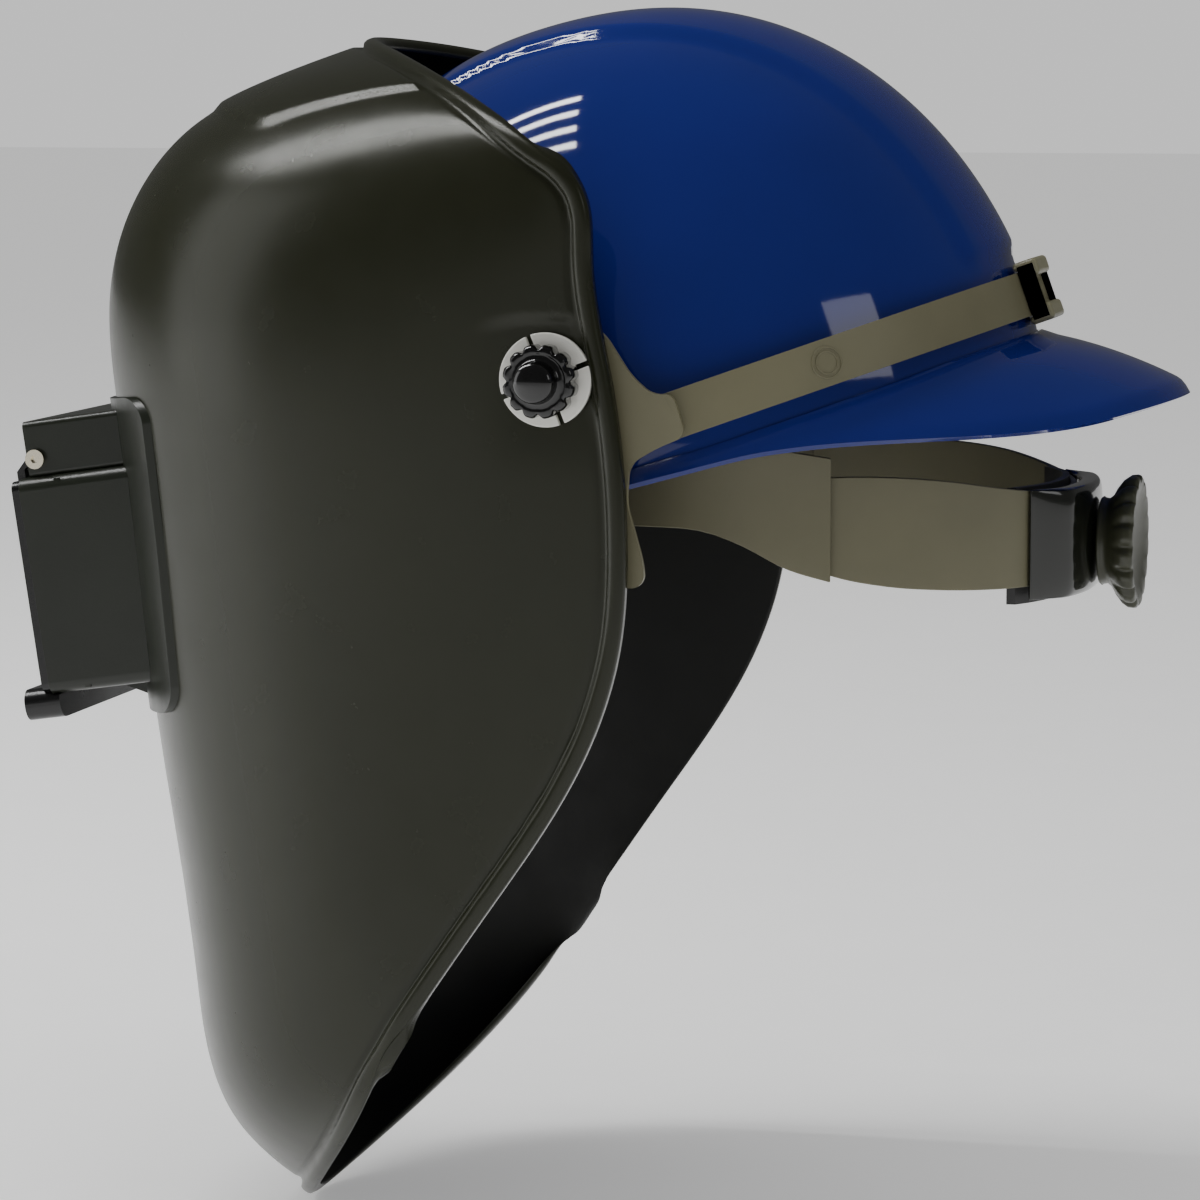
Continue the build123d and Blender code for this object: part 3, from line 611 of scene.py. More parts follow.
# ---------------------------------------------------------------- hard hat
@dataclass
class HardHat:
    """The glossy shell: dome, crown ridge and brim in one moulding.

    Sizes in millimetres, round the dome's own centre.
    """

    length: float = 122.0
    width: float = 108.0
    power: float = 2.2
    grown: float = 2.0
    height: float = 129.8
    wall: float = 2.3
    ridge_half: float = 35.0
    ridge_rise: float = 3.0
    ridge_end: float = 27.0
    ridge_soft: float = 3.2
    lip: float = 4.0
    peak: float = 43.0
    base: float = -7.0
    rear_rise: float = 7.5
    front_rise: float = 15.0
    edge_base: float = -11.6
    peak_drop: float = 15.5
    edge_rise: float = 16.0
    bow: float = 2.6
    brim_roll: float = 2.6
    roll_width: float = 3.6
    dome_rings: int = 96
    brim_rings: int = 34
    steps: int = 256

    def radius(self, w: float, height: float) -> float:
        """Share of the dome's half length at a height above its centre."""
        return max(0.0, 1 - abs(w / height) ** 2) ** (1 / self.power)

    def edge_height(self, angle: float) -> float:
        """Height at which the dome runs into the brim."""
        degrees = math.degrees(angle)
        return self.base + self.rear_rise * smooth(degrees / 80) + self.front_rise * smooth(-degrees / 90)

    def dome_point(self, share: float, angle: float) -> Vector:
        """A point of the dome, from its top at 0 to the brim at 1."""
        low = self.edge_height(angle)
        turn = share * (math.pi / 2 + math.asin(-low / self.height))
        w = self.height * math.cos(turn)
        r = self.radius(w, self.height) if share > 0 else 0.0
        plain = Vector((self.width * r * math.cos(angle), self.length * r * math.sin(angle), w))
        inside = smooth((self.ridge_half + self.ridge_soft - abs(plain.x)) / (2 * self.ridge_soft))
        above = smooth((w - self.ridge_end + self.ridge_soft) / (2 * self.ridge_soft))
        lift = inside * above
        top = self.height + self.ridge_rise
        grown = Vector((
            plain.x * (self.width + self.grown) / self.width,
            plain.y * (self.length + self.grown) / self.length,
            w * top / self.height,
        ))
        return plain.lerp(grown, lift)

    def brim_point(self, share: float, angle: float) -> Vector:
        """A point of the brim, from the dome at 0 to its edge at 1."""
        degrees = math.degrees(angle)
        rear = smooth((degrees - 15) / 75)
        front = smooth(-degrees / 90)
        reach = self.lip + (self.peak - self.lip) * rear
        w_in = self.edge_height(angle)
        w_out = self.edge_base - self.peak_drop * smooth((degrees - 20) / 50) + self.edge_rise * front
        c, s = math.cos(angle), math.sin(angle)
        out = Vector((c / self.width, s / self.length, 0)).normalized()
        r = self.radius(w_in, self.height)
        start = Vector((self.width * c * r, self.length * s * r, 0))
        bulge = self.bow * rear * 4 * share * (1 - share)
        sag = (w_out - w_in) * share
        hollow = min(2.2, 0.35 * reach) * (1 - smooth(share * reach / 7.0)) * smooth(share * reach / 0.8)
        over = max(0.0, share - 1 + self.roll_width / reach) * reach / self.roll_width
        roll = self.brim_roll * rear * over * over
        reach_out = reach * share - 0.9 * rear * over * over
        return start + out * reach_out + Vector((0, 0, w_in + sag + bulge + 0.4 * hollow - roll))

    def build(self) -> Piece:
        """Makes the shell."""
        rows = [float(k) for k in range(self.dome_rings + self.brim_rings + 1)]
        made = polar(rows, self.steps)
        place = hat_frame()
        for vert in made.verts:
            ring = round(math.hypot(vert.co.x, vert.co.y))
            angle = math.atan2(vert.co.y, abs(vert.co.x))
            side = -1.0 if vert.co.x < 0 else 1.0
            if ring <= self.dome_rings:
                point = self.dome_point(ring / self.dome_rings, angle)
            else:
                point = self.brim_point((ring - self.dome_rings) / self.brim_rings, angle)
            point.x *= side
            vert.co = place @ (point * MM)
        outwards(made, HAT_MIDDLE)
        shell = finished("hat_shell_gloss", made, HAT_BLUE, "hat", ["hat_shell"])
        walled(shell, self.wall * MM)
        return rounded(shell, 0.0008, 3, 60)


# ---------------------------------------------------------------- face shield
@dataclass
class FaceShield:
    """The shield moulding: side walls, front, rolled rim and raised crown panel.

    Sizes in millimetres.
    """

    half: float = 119.5
    wall: float = 2.5
    bead: float = 5.5
    rise: float = 2.4
    groove: float = 0.55
    across: int = 184
    down: int = 214
    panel_rise: float = 1.5
    panel_half: float = 78.0
    panel_flare: float = 8.0
    panel_end: float = 0.125
    step: float = 0.8
    window: tuple[float, float] = (56.0, 27.0)
    window_ahead: float = -120.0
    side_from: float = 90.0
    stud_hole: float = 6.0
    corner_reach: tuple[float, ...] = (20.0, 15.0, 10.0)
    corner_rounds: int = 12
    middle: tuple[float, float, float] = (0.0, -60.0, -40.0)

    def __post_init__(self) -> None:
        """Lays out the rim and the middle of the front in side view."""
        self.rim = Curve([
            (-38, 104.5), (-31, 97), (-28.2, 87), (-27.8, 75), (-22.1, 40), (-17.4, -10),
            (-19.4, -40), (-31, -75), (-59.5, -120), (-90.5, -165),
        ])
        self.front = Curve([
            (-126.3, 138.7), (-160, 126), (-184, 113), (-206.5, 82), (-211.5, 60), (-209, 22),
            (-195, -84), (-183, -158), (-173, -209), (-149.2, -238.6),
        ])

    def cross(self, v: float) -> list[Vector]:
        """One cross curve, from the side rim to the middle, as close points."""
        side = self.rim.at(v)
        front = self.front.at(v)
        end_power = 1.3 + 0.12 * v
        power = end_power + (2.55 - end_power) * (1 - abs(2 * v - 1) ** 5)
        top_bow = 4.5 * (1 - smooth(v / 0.25)) * MM
        low_bow = 4.5 * (1 - smooth((1 - v) / 0.25)) * MM
        soft = 0.1
        full = (1 + soft**2) ** (power / 2) - soft**power
        points = []
        for k in range(161):
            x = math.cos(math.pi / 2 * k / 160) ** (2 / power) if k < 160 else 0.0
            rise = ((x * x + soft**2) ** (power / 2) - soft**power) / full
            q = max(0.0, 1 - rise) ** (1 / power)
            bow = 4 * q * (1 - q)
            middle = side.lerp(front, q)
            points.append(Vector((self.half * MM * x, middle.y + low_bow * bow, middle.z + top_bow * bow)))
        points[0] = Vector((self.half * MM, side.y, side.z))
        points[-1] = Vector((0, front.y, front.z))
        return points

    def relief(self, edge: float, point: Vector, v: float) -> float:
        """Height of the rim, groove, crown panel and pivot step over the plain sheet.

        Args:
            edge: distance from the rim in millimetres.
            point: place on the plain sheet in millimetres.
            v: share of the way from the top rim to the chin.

        Returns:
            The height in millimetres.
        """
        t = min(1.0, edge / self.bead)
        roll = 0.2 + (self.rise - 0.2) * max(0.0, 1 - abs(2 * t - 1) ** 2.4) ** (1 / 2.4)
        roll = roll * (1 - smooth((edge - self.bead + 0.6) / 1.2))
        line = self.groove * math.exp(-(((edge - self.bead - 1.3) / 0.9) ** 2))
        inner = smooth((edge - self.bead - 1.5) / 2.0)
        side = self.panel_half + self.panel_flare * smooth((self.panel_end - v) / self.panel_end)
        end = self.panel_end * (1 - 0.10 * (point.x / side) ** 2)
        ahead = smooth((end - v) / 0.012 + 0.5)
        within = smooth((side - abs(point.x)) / 3.0 + 0.5)
        panel = self.panel_rise * ahead * within * inner
        away_y, away_z = point.y - PIVOT[0], point.z - PIVOT[1]
        roof = 18.0 - 0.010 * max(0.0, -away_y - 2) ** 2
        under = smooth((roof - away_z) / 1.6 + 0.5)
        fade = smooth((away_z + 30) / 34) * smooth((away_y + 24) / 18)
        step = self.step * under * fade * inner if abs(point.x) > self.side_from else 0.0
        return roll - line + panel - step

    def lay_out(self, rows: Grid) -> list[float]:
        """Puts the grid's points on the plain sheet.

        Args:
            rows: the grid's points by row and column.

        Returns:
            The share of the way to the chin of each row.
        """
        shares = []
        for i in range(self.down + 1):
            t = i / self.down
            shares.append(t - 0.54 * math.sin(2 * math.pi * t) / (2 * math.pi))
            curve = self.cross(shares[-1])
            run = lengths(curve)
            for j in range(self.across + 1):
                s = 2 * j / self.across - 1
                b = 1 - abs(s)
                point = along(curve, 0.35 * b + 0.65 * b * b, run).copy()
                point.x *= 1 if s >= 0 else -1
                rows[i][j].co = point
        return shares

    def rim_gap(self, rows: Grid) -> Callable[[Vector], float]:
        """How far a point is from the rim, in millimetres.

        Args:
            rows: the grid's points by row and column.

        Returns:
            The measure.
        """
        loop = [rows[0][j].co.copy() for j in range(self.across + 1)]
        loop += [rows[i][self.across].co.copy() for i in range(1, self.down + 1)]
        loop += [rows[self.down][j].co.copy() for j in range(self.across - 1, -1, -1)]
        loop += [rows[i][0].co.copy() for i in range(self.down - 1, 0, -1)]
        tree = kdtree.KDTree(len(loop))
        for k, point in enumerate(loop):
            tree.insert(point, k)
        tree.balance()

        def gap(point: Vector) -> float:
            """Distance to the nearest stretch of the rim."""
            _, k, _ = tree.find(point)
            best = math.inf
            for a, b in ((k - 1, k), (k, (k + 1) % len(loop))):
                near, share = geometry.intersect_point_line(point, loop[a], loop[b])
                near = loop[a].lerp(loop[b], min(1.0, max(0.0, share)))
                best = min(best, (near - point).length)
            return best / MM

        return gap

    def build(self) -> Piece:
        """Makes the shield with its window and its two stud holes."""
        made = bmesh.new()
        plain = made.verts.layers.float_vector.new("plain")
        lift = made.verts.layers.float_vector.new("lift")
        bmesh.ops.create_grid(made, x_segments=self.across, y_segments=self.down, size=1.0)
        rows: Grid = {}
        for vert in made.verts:
            i = round((1 - vert.co.y) / 2 * self.down)
            j = round((vert.co.x + 1) / 2 * self.across)
            rows.setdefault(i, {})[j] = vert
        shares = self.lay_out(rows)
        self._soften_corners(made, rows)
        gap = self.rim_gap(rows)
        outwards(made, Vector(self.middle) * MM)
        facing = self._facing(rows)
        for i, row in rows.items():
            for j, vert in row.items():
                height = self.relief(gap(vert.co), vert.co / MM, shares[i])
                vert[plain] = vert.co
                vert[lift] = facing[i][j] * (height * MM)
        trimmed(made, self._solid)
        bmesh.ops.solidify(made, geom=made.faces[:], thickness=self.wall * MM)
        for vert in made.verts:
            vert.tag = (vert.co - vert[plain]).length < 1e-6
        # Faces with no point on the outer sheet are the inside of the shell; they take the second slot, which
        # is painted shade.
        for face in made.faces:
            face.material_index = 0 if any(v.tag for v in face.verts) else 1
        for vert in made.verts:
            if vert.tag:
                vert.co += vert[lift]
        for name in ("lift", "plain"):
            made.verts.layers.float_vector.remove(made.verts.layers.float_vector[name])
        bmesh.ops.recalc_face_normals(made, faces=made.faces)
        shell = finished("shield_shell_moulded", made, SHIELD_GREY, "shield", ["shield_shell"])
        # second slot: the near-black painted shade on the inside of the shell
        shell.data.materials.append(SHIELD_SHADE_INSIDE.material())
        return shell

    def _soften_corners(self, made: Mesh, rows: Grid) -> None:
        """Rounds the plain sheet where the side rims meet the top and chin rims."""
        for i in (0, self.down):
            for j in (0, self.across):
                corner = rows[i][j].co.copy()
                for reach in self.corner_reach:
                    near = [v for v in made.verts if (v.co - corner).length < reach * MM]
                    for _ in range(self.corner_rounds):
                        self._relax(near)

    @staticmethod
    def _relax(verts: list[Vert]) -> None:
        """Moves points half way to the middle of their neighbours, and rim points along the rim."""
        goals = []
        for vert in verts:
            edges = [e for e in vert.link_edges if e.is_boundary or not vert.is_boundary]
            middle = sum((e.other_vert(vert).co for e in edges), Vector()) / len(edges)
            goals.append(vert.co.lerp(middle, 0.5))
        for vert, goal in zip(verts, goals):
            vert.co = goal

    def _facing(self, rows: Grid) -> list[list[Vector]]:
        """Outward directions of the plain sheet, evened out near its four corners."""
        facing = [[rows[i][j].normal.copy() for j in range(self.across + 1)] for i in range(self.down + 1)]
        near = 26
        for _ in range(14):
            for i in list(range(near)) + list(range(self.down - near, self.down + 1)):
                for j in list(range(near)) + list(range(self.across - near, self.across + 1)):
                    around = [(i - 1, j), (i + 1, j), (i, j - 1), (i, j + 1)]
                    inside = [(a, b) for a, b in around if 0 <= a <= self.down and 0 <= b <= self.across]
                    total = facing[i][j] + sum((facing[a][b] for a, b in inside), Vector())
                    facing[i][j] = total.normalized()
        return facing

    def _solid(self, place: Vector) -> bool:
        """Tells whether the sheet goes on at a place, clear of the window and the stud holes."""
        local = LensPlace().local(place)
        inside = abs(local.x) < self.window[0] and abs(local.y) < self.window[1]
        window = inside and place.y < self.window_ahead
        stud = math.hypot(place.y - PIVOT[0], place.z - PIVOT[1]) < self.stud_hole
        return not (window or (stud and abs(place.x) > self.side_from))


# ---------------------------------------------------------------- straps, band and ratchet
@dataclass
class RearStrap:
    """The moulded strap round the rear of the hat, in two halves.

    Sizes in millimetres, round the centre of the strap's own oval.
    """

    place: tuple[float, float] = (-14.9, 25.6)
    tilt: float = 19.7
    ahead: float = 19.7
    half_x: float = 114.95
    half_y: float = 124.7
    thick: float = 1.7
    high: float = 14.0
    start: float = 3.5
    ring: float = 4.7
    ring_at: float = 37.0
    corner: float = 0.45

    def matrix(self) -> Matrix:
        """From the strap's oval to the row frame."""
        move = Matrix.Translation(Vector((0, self.place[0], self.place[1])) * MM)
        turn = Matrix.Rotation(math.radians(self.tilt), 4, "X")
        return move @ turn @ Matrix.Translation(Vector((0, -self.ahead, 0)) * MM)

    def build(self, side: int) -> Piece:
        """One half of the strap with its embossed rings.

        Args:
            side: 1 on the wearer's left, -1 on the right.

        Returns:
            The strap.
        """
        made = bmesh.new()
        high, thick = self.high / 2, self.thick
        corners = [(self.half_y - thick, -high), (self.half_y, -high), (self.half_y, high),
                   (self.half_y - thick, high)]
        verts = [made.verts.new((r * MM, 0, z * MM)) for r, z in corners]
        face = made.faces.new(verts)
        swing = math.radians(90 - self.start)
        bmesh.ops.rotate(made, verts=made.verts, cent=(0, 0, 0),
                         matrix=Matrix.Rotation(math.radians(self.start), 3, "Z"))
        bmesh.ops.spin(made, geom=[face] + face.edges[:] + face.verts[:], cent=(0, 0, 0), axis=(0, 0, 1),
                       angle=swing, steps=60, use_merge=False)
        bmesh.ops.scale(made, vec=(self.half_x / self.half_y, 1, 1), verts=made.verts)
        bmesh.ops.recalc_face_normals(made, faces=made.faces)
        for radius in (self.ring, self.ring * 0.72):
            self._emboss(made, radius)
        bmesh.ops.transform(made, matrix=self.matrix(), verts=made.verts)
        if side < 0:
            bmesh.ops.scale(made, vec=(-1, 1, 1), verts=made.verts)
            bmesh.ops.reverse_faces(made, faces=made.faces)
        strap = finished(f"rear_strap_{SIDES[side]}", made, OLIVE_NYLON, "hat", ())
        return rounded(strap, self.corner * MM)

    def _emboss(self, made: Mesh, radius: float) -> None:
        """Adds one plain raised ring to the strap's outer face."""
        turn = math.radians(self.ring_at)
        middle = Vector((self.half_x * math.cos(turn), self.half_y * math.sin(turn), 0)) * MM
        out = Vector((math.cos(turn) / self.half_x, math.sin(turn) / self.half_y, 0)).normalized()
        loop = bmesh.ops.create_circle(made, cap_ends=False, radius=0.32 * MM, segments=8)["verts"]
        bmesh.ops.rotate(made, verts=loop, cent=(0, 0, 0), matrix=Matrix.Rotation(math.pi / 2, 3, "X"))
        bmesh.ops.translate(made, verts=loop, vec=(radius * MM, 0, 0))
        edges = list({e for v in loop for e in v.link_edges})
        before = set(made.verts)
        bmesh.ops.spin(made, geom=loop + edges, cent=(0, 0, 0), axis=(0, 0, 1), angle=2 * math.pi, steps=40,
                       use_merge=True)
        ring = loop + [v for v in made.verts if v not in before]
        turned = out.to_track_quat("Z", "Y").to_matrix().to_4x4()
        bmesh.ops.transform(made, matrix=Matrix.Translation(middle) @ turned, verts=ring)


@dataclass
class SidePlate:
    """Plate between shield and hat, with the foot of the rear strap.

    Its outline is in side view, in millimetres.
    """

    inner: float = 112.6
    thick: float = 2.0
    round: float = 5.0
    edge: float = 0.5
    hub: float = 109.4

    def build(self, side: int) -> Piece:
        """One side plate.

        Args:
            side: 1 on the wearer's left, -1 on the right.

        Returns:
            The plate.
        """
        outline = [(-58, 52), (-46, 60.6), (-36, 60.2), (-25, 53), (-17.2, 41), (-10.5, 35.2), (-4.5, 36.0),
                   (-0.5, 23.3), (-10, 19.2), (-17.6, 14.5), (-18.4, 3), (-13.5, -14), (-12.8, -21),
                   (-18.8, -23), (-33, -4), (-48, 19.5), (-60, 28)]
        made = bmesh.new()
        x = self.inner * MM
        verts = [made.verts.new((x, y * MM, z * MM)) for y, z in outline]
        made.faces.new(verts)
        bmesh.ops.bevel(made, geom=verts, offset=self.round * MM, affect="VERTICES", segments=6, profile=0.5,
                        material=-1, clamp_overlap=True, offset_type="OFFSET")
        grown = bmesh.ops.extrude_face_region(made, geom=made.faces[:])["geom"]
        bmesh.ops.translate(made, verts=[g for g in grown if isinstance(g, Vert)],
                            vec=(self.thick * MM, 0, 0))
        self._hub(made)
        if side < 0:
            bmesh.ops.scale(made, vec=(-1, 1, 1), verts=made.verts)
        bmesh.ops.recalc_face_normals(made, faces=made.faces)
        name = SIDES[side]
        plate = finished(f"side_plate_{name}", made, OLIVE_NYLON, "hat", [f"shield_adapter_{name}"])
        return rounded(plate, self.edge * MM)

    def _hub(self, made: Mesh) -> None:
        """Adds the round boss that reaches in to the hat."""
        turn = Matrix.Translation(Vector((self.hub, *PIVOT)) * MM) @ Matrix.Rotation(math.pi / 2, 4, "Y")
        bmesh.ops.create_cone(made, cap_ends=True, segments=48, radius1=9 * MM, radius2=10 * MM,
                              depth=6.5 * MM, matrix=turn)


@dataclass
class Band:
    """A flat moulded band on an oval, cut to a smooth outline in side view.

    Args:
        name: piece name.
        node: CAD node that it stands for.
        body: body that it rides on.
        half_x: half width of the oval's outer face.
        top: upper edge as (y, z) points, front to rear.
        low: lower edge as (y, z) points, front to rear.
        half_y: half length of the oval.
        wall: thickness.
        steps: faces round.
        rows: faces from edge to edge.
    """

    name: str
    node: str
    body: str
    half_x: float
    top: list[tuple[float, float]]
    low: list[tuple[float, float]]
    half_y: float = 98.0
    wall: float = 2.0
    steps: int = 200
    rows: int = 6

    def height(self, edge: list[tuple[float, float]], y: float) -> float:
        """Height of an edge at one place, on a smooth curve through its points."""
        if y <= edge[0][0]:
            return edge[0][1]
        if y >= edge[-1][0]:
            return edge[-1][1]
        k = max(i for i, (at, _) in enumerate(edge[:-1]) if at <= y)
        near = [edge[max(k - 1, 0)], edge[k], edge[k + 1], edge[min(k + 2, len(edge) - 1)]]
        run = near[2][0] - near[1][0]
        slope_a = (near[2][1] - near[0][1]) / (near[2][0] - near[0][0])
        slope_b = (near[3][1] - near[1][1]) / (near[3][0] - near[1][0])
        t = (y - near[1][0]) / run
        start = (2 * t**3 - 3 * t**2 + 1) * near[1][1] + (t**3 - 2 * t**2 + t) * run * slope_a
        return start + (3 * t**2 - 2 * t**3) * near[2][1] + (t**3 - t**2) * run * slope_b

    def build(self) -> Piece:
        """Makes the band."""
        made = bmesh.new()
        spun([made.verts.new((1, 0, k / self.rows)) for k in range(self.rows + 1)], made, self.steps)
        first, last = self.top[0][0], self.top[-1][0]
        for vert in made.verts:
            x, y = ring_point(self.half_x, self.half_y, math.atan2(vert.co.y, vert.co.x))
            low = self.height(self.low, y)
            z = low + (self.height(self.top, y) - low) * vert.co.z
            vert.co = Vector((x, y, z)) * MM
        trimmed(made, lambda place: first < place.y < last)
        outwards(made, Vector((0, 0, 0)))
        band = finished(self.name, made, OLIVE_NYLON, self.body, [self.node])
        walled(band, self.wall * MM)
        return rounded(band, 0.0004, 2, 50)


def turned_knob(profile: list[tuple[float, float]], lobes: int, depth: float, grip: float,
                steps: int) -> Mesh:
    """A round knob whose rim is scalloped.

    Args:
        profile: (radius, along) points from the middle of the face to the middle of the back, in millimetres.
        lobes: scallops round the rim.
        depth: how deep a scallop is.
        grip: radius beyond which the scallops show.
        steps: faces round.

    Returns:
        The knob, along +Z, in millimetres.
    """
    made = bmesh.new()
    spun([made.verts.new((r, 0, z)) for r, z in profile], made, steps)
    bmesh.ops.remove_doubles(made, verts=made.verts, dist=1e-4)
    edge = max(r for r, _ in profile)
    for vert in made.verts:
        radius = math.hypot(vert.co.x, vert.co.y)
        if radius > grip:
            wave = abs(math.cos(lobes * math.atan2(vert.co.y, vert.co.x) / 2)) ** 6
            share = smooth((radius - grip) / (edge - grip))
            scale = 1 - depth * wave * share / radius
            vert.co.x *= scale
            vert.co.y *= scale
    bmesh.ops.recalc_face_normals(made, faces=made.faces)
    return made


@dataclass
class TensionKnob:
    """Black scalloped knob with a domed hub, on the shield's pivot."""

    start: float = 121.85
    radius: float = 11.0
    length: float = 12.0
    hub: float = 6.0

    def build(self, side: int) -> Piece:
        """One knob.

        Args:
            side: 1 on the wearer's left, -1 on the right.

        Returns:
            The knob.
        """
        top = self.length - 3
        rim = self.radius
        dome = [(self.hub * math.sin(k * math.pi / 16), self.length + 2 + 2.4 * math.cos(k * math.pi / 16))
                for k in range(9)]
        profile = dome + [
            (self.hub, top + 0.8), (self.hub + 0.5, top + 0.1), (self.hub + 1.2, top - 0.5),
            (self.hub + 2.4, top - 0.4), (rim - 1.2, top - 0.1), (rim - 0.4, top - 0.7), (rim, top - 1.8),
            (rim, 1.6), (rim - 0.5, 0.6), (rim - 1.6, 0.1), (3.4, 0.0), (0.0, 0.0),
        ]
        made = turned_knob(profile, 12, 1.3, rim - 2.6, 144)
        bmesh.ops.rotate(made, verts=made.verts, cent=(0, 0, 0), matrix=Matrix.Rotation(math.pi / 2, 3, "Y"))
        bmesh.ops.translate(made, verts=made.verts, vec=(self.start, *PIVOT))
        bmesh.ops.scale(made, vec=(side * MM, MM, MM), verts=made.verts)
        bmesh.ops.recalc_face_normals(made, faces=made.faces)
        name = SIDES[side]
        return finished(f"tension_knob_{name}_turned", made, BLACK_GLOSS, f"knob_{name}",
                        [f"tension_knob_{name}"])


@dataclass
class RatchetCover:
    """Glossy cover of the ratchet, curved round the rear of the band.

    Sizes in millimetres.
    """

    half_x: float = 75.6
    half_y: float = 98.0
    width: float = 37.6
    reach: float = 8.3
    flush: float = 1.6
    low: float = -31.6
    high: float = 2.4
    square: float = 5.0
    slope: float = 13.0
    clear: float = 0.35
    rows: int = 40
    steps: int = 360

    def build(self) -> Piece:
        """Makes the cover as a closed ring section."""
        made = bmesh.new()
        spun([made.verts.new((1, 0, k)) for k in range(self.rows)], made, self.steps, closed=True)
        for vert in made.verts:
            around = 2 * math.pi * vert.co.z / self.rows
            x, y = ring_point(self.half_x, self.half_y, math.atan2(vert.co.y, vert.co.x))
            out = Vector((math.copysign(abs(x / self.half_x) ** 1.3 / self.half_x, x),
                          math.copysign(abs(y / self.half_y) ** 1.3 / self.half_y, y), 0)).normalized()
            full = self.flush + (self.reach - self.flush) * smooth((self.width - abs(x)) / self.slope)
            depth = math.copysign(abs(math.cos(around)) ** (2 / self.square), math.cos(around))
            tall = math.copysign(abs(math.sin(around)) ** (2 / self.square), math.sin(around))
            off = self.clear + (full - self.clear) * (depth + 1) / 2
            z = (self.high + self.low) / 2 + (self.high - self.low) / 2 * tall
            vert.co = (Vector((x, y, z)) + out * off) * MM
        trimmed(made, lambda place: place.y >= 0 and abs(place.x) <= self.width)
        closed(made)
        cover = finished("ratchet_cover_gloss", made, COVER_BLACK, "nape", ["ratchet_cover"])
        return rounded(cover, 0.0007, 3, 55)


@dataclass
class RatchetKnob:
    """Flared knob with a dished, scalloped face behind the ratchet."""

    start: float = 106.9
    height: float = -16.5
    radius: float = 21.0
    reach: float = 12.5
    dish: float = 3.2

    def build(self) -> Piece:
        """Makes the knob."""
        radii = [2.5 * k for k in range(7)] + [17.0]
        dish = [(r, self.reach - self.dish + 3.0 * (r / 17.5) ** 2) for r in radii]
        profile = dish + [
            (18.6, self.reach - 0.1), (19.8, self.reach), (20.7, self.reach - 0.5),
            (self.radius, self.reach - 1.3), (20.8, self.reach - 3.2), (19.6, self.reach - 5.0),
            (17.0, self.reach - 7.0),
            (14.6, self.reach - 8.3), (13.4, self.reach - 9.8), (13.6, self.reach - 11.2), (14.0, 0.8),
            (13.5, 0.2), (12.0, 0.0), (4.0, 0.0), (4.0, -5.0), (0.0, -5.0),
        ]
        made = turned_knob(profile, 16, 1.9, 16.5, 192)
        bmesh.ops.rotate(made, verts=made.verts, cent=(0, 0, 0), matrix=Matrix.Rotation(-math.pi / 2, 3, "X"))
        bmesh.ops.translate(made, verts=made.verts, vec=(0, self.start, self.height))
        bmesh.ops.scale(made, vec=(MM, MM, MM), verts=made.verts)
        return finished("ratchet_knob_turned", made, KNOB_OLIVE, "ratchet", ["ratchet_knob"])


# ---------------------------------------------------------------- soft pieces
@dataclass
class CrownStrap:
    """Woven strap over the head, with thinner selvedges.

    Sizes in millimetres, round the dome's own centre.
    """

    turn: float
    drop: float
    length: float = 102.0
    height: float = 99.8
    width: float = 19.0
    thick: float = 1.15
    squeeze: float = 96.0 / 122.0
    hem: float = 0.18

    def build(self, node: str) -> Piece:
        """Makes the strap.

        Args:
            node: CAD node that it stands for.

        Returns:
            The strap.
        """
        made = bmesh.new()
        half = self.width / 2
        line = [made.verts.new((1, -half + self.width * k / 8, 0)) for k in range(9)]
        spun(line, made, 96, around=(0, -1, 0), angle=math.pi)
        place = hat_frame()
        turned = Matrix.Rotation(math.radians(self.turn), 4, "Z")
        long, high = self.length - self.drop, self.height - self.drop
        for vert in made.verts:
            angle = math.atan2(vert.co.z, vert.co.x)
            selvedge = self.hem * (abs(vert.co.y) / half) ** 6
            flat = Vector((
                (long - selvedge) * math.cos(angle),
                vert.co.y,
                (high - selvedge) * max(0.0, math.sin(angle)),
            ))
            point = turned @ flat
            point.x *= self.squeeze
            vert.co = place @ (point * MM)
        bmesh.ops.remove_doubles(made, verts=made.verts, dist=1e-6)
        outwards(made, HAT_MIDDLE)
        strap = finished(node + "_webbing", made, WEBBING, "hat", [node])
        walled(strap, self.thick * MM)
        return rounded(strap, 0.0003, 2, 50)


@dataclass
class BrowPad:
    """Padded cloth band inside the front of the headband, quilted in short channels.

    Sizes in millimetres.
    """

    half_x: float = 75.7
    half_y: float = 95.7
    thick: float = 3.0
    rear: float = -25.0
    low: float = -6.6
    high: float = 19.6
    channel: float = 7.5
    taper: float = 6.0
    rows: int = 30
    steps: int = 440

    def build(self) -> Piece:
        """Makes the pad."""
        made = bmesh.new()
        spun([made.verts.new((1, 0, k)) for k in range(self.rows)], made, self.steps, closed=True)
        for vert in made.verts:
            angle = math.atan2(vert.co.y, vert.co.x)
            around = 2 * math.pi * vert.co.z / self.rows
            quilt = abs(math.sin(math.degrees(angle) * math.pi / self.channel)) ** 0.35
            end = smooth((self.rear - self.half_y * math.sin(angle)) / self.taper)
            puff = self.thick / 2 * (0.35 + 0.65 * quilt) * (0.3 + 0.7 * end)
            depth = math.copysign(abs(math.cos(around)) ** 0.6, math.cos(around)) * puff
            depth = min(depth, self.thick * 0.46)
            tall = (self.high - self.low) / 2 * math.copysign(abs(math.sin(around)) ** 0.8, math.sin(around))
            inset = self.thick / 2 - depth
            x, y = ring_point(self.half_x - inset, self.half_y - inset, angle)
            vert.co = Vector((x, y, (self.high + self.low) / 2 + tall * (0.92 + 0.08 * quilt))) * MM
        trimmed(made, lambda place: place.y <= self.rear)
        closed(made)
        pad = finished("brow_pad", made, BROW_CLOTH, "hat", ["sweatband"])
        return pad


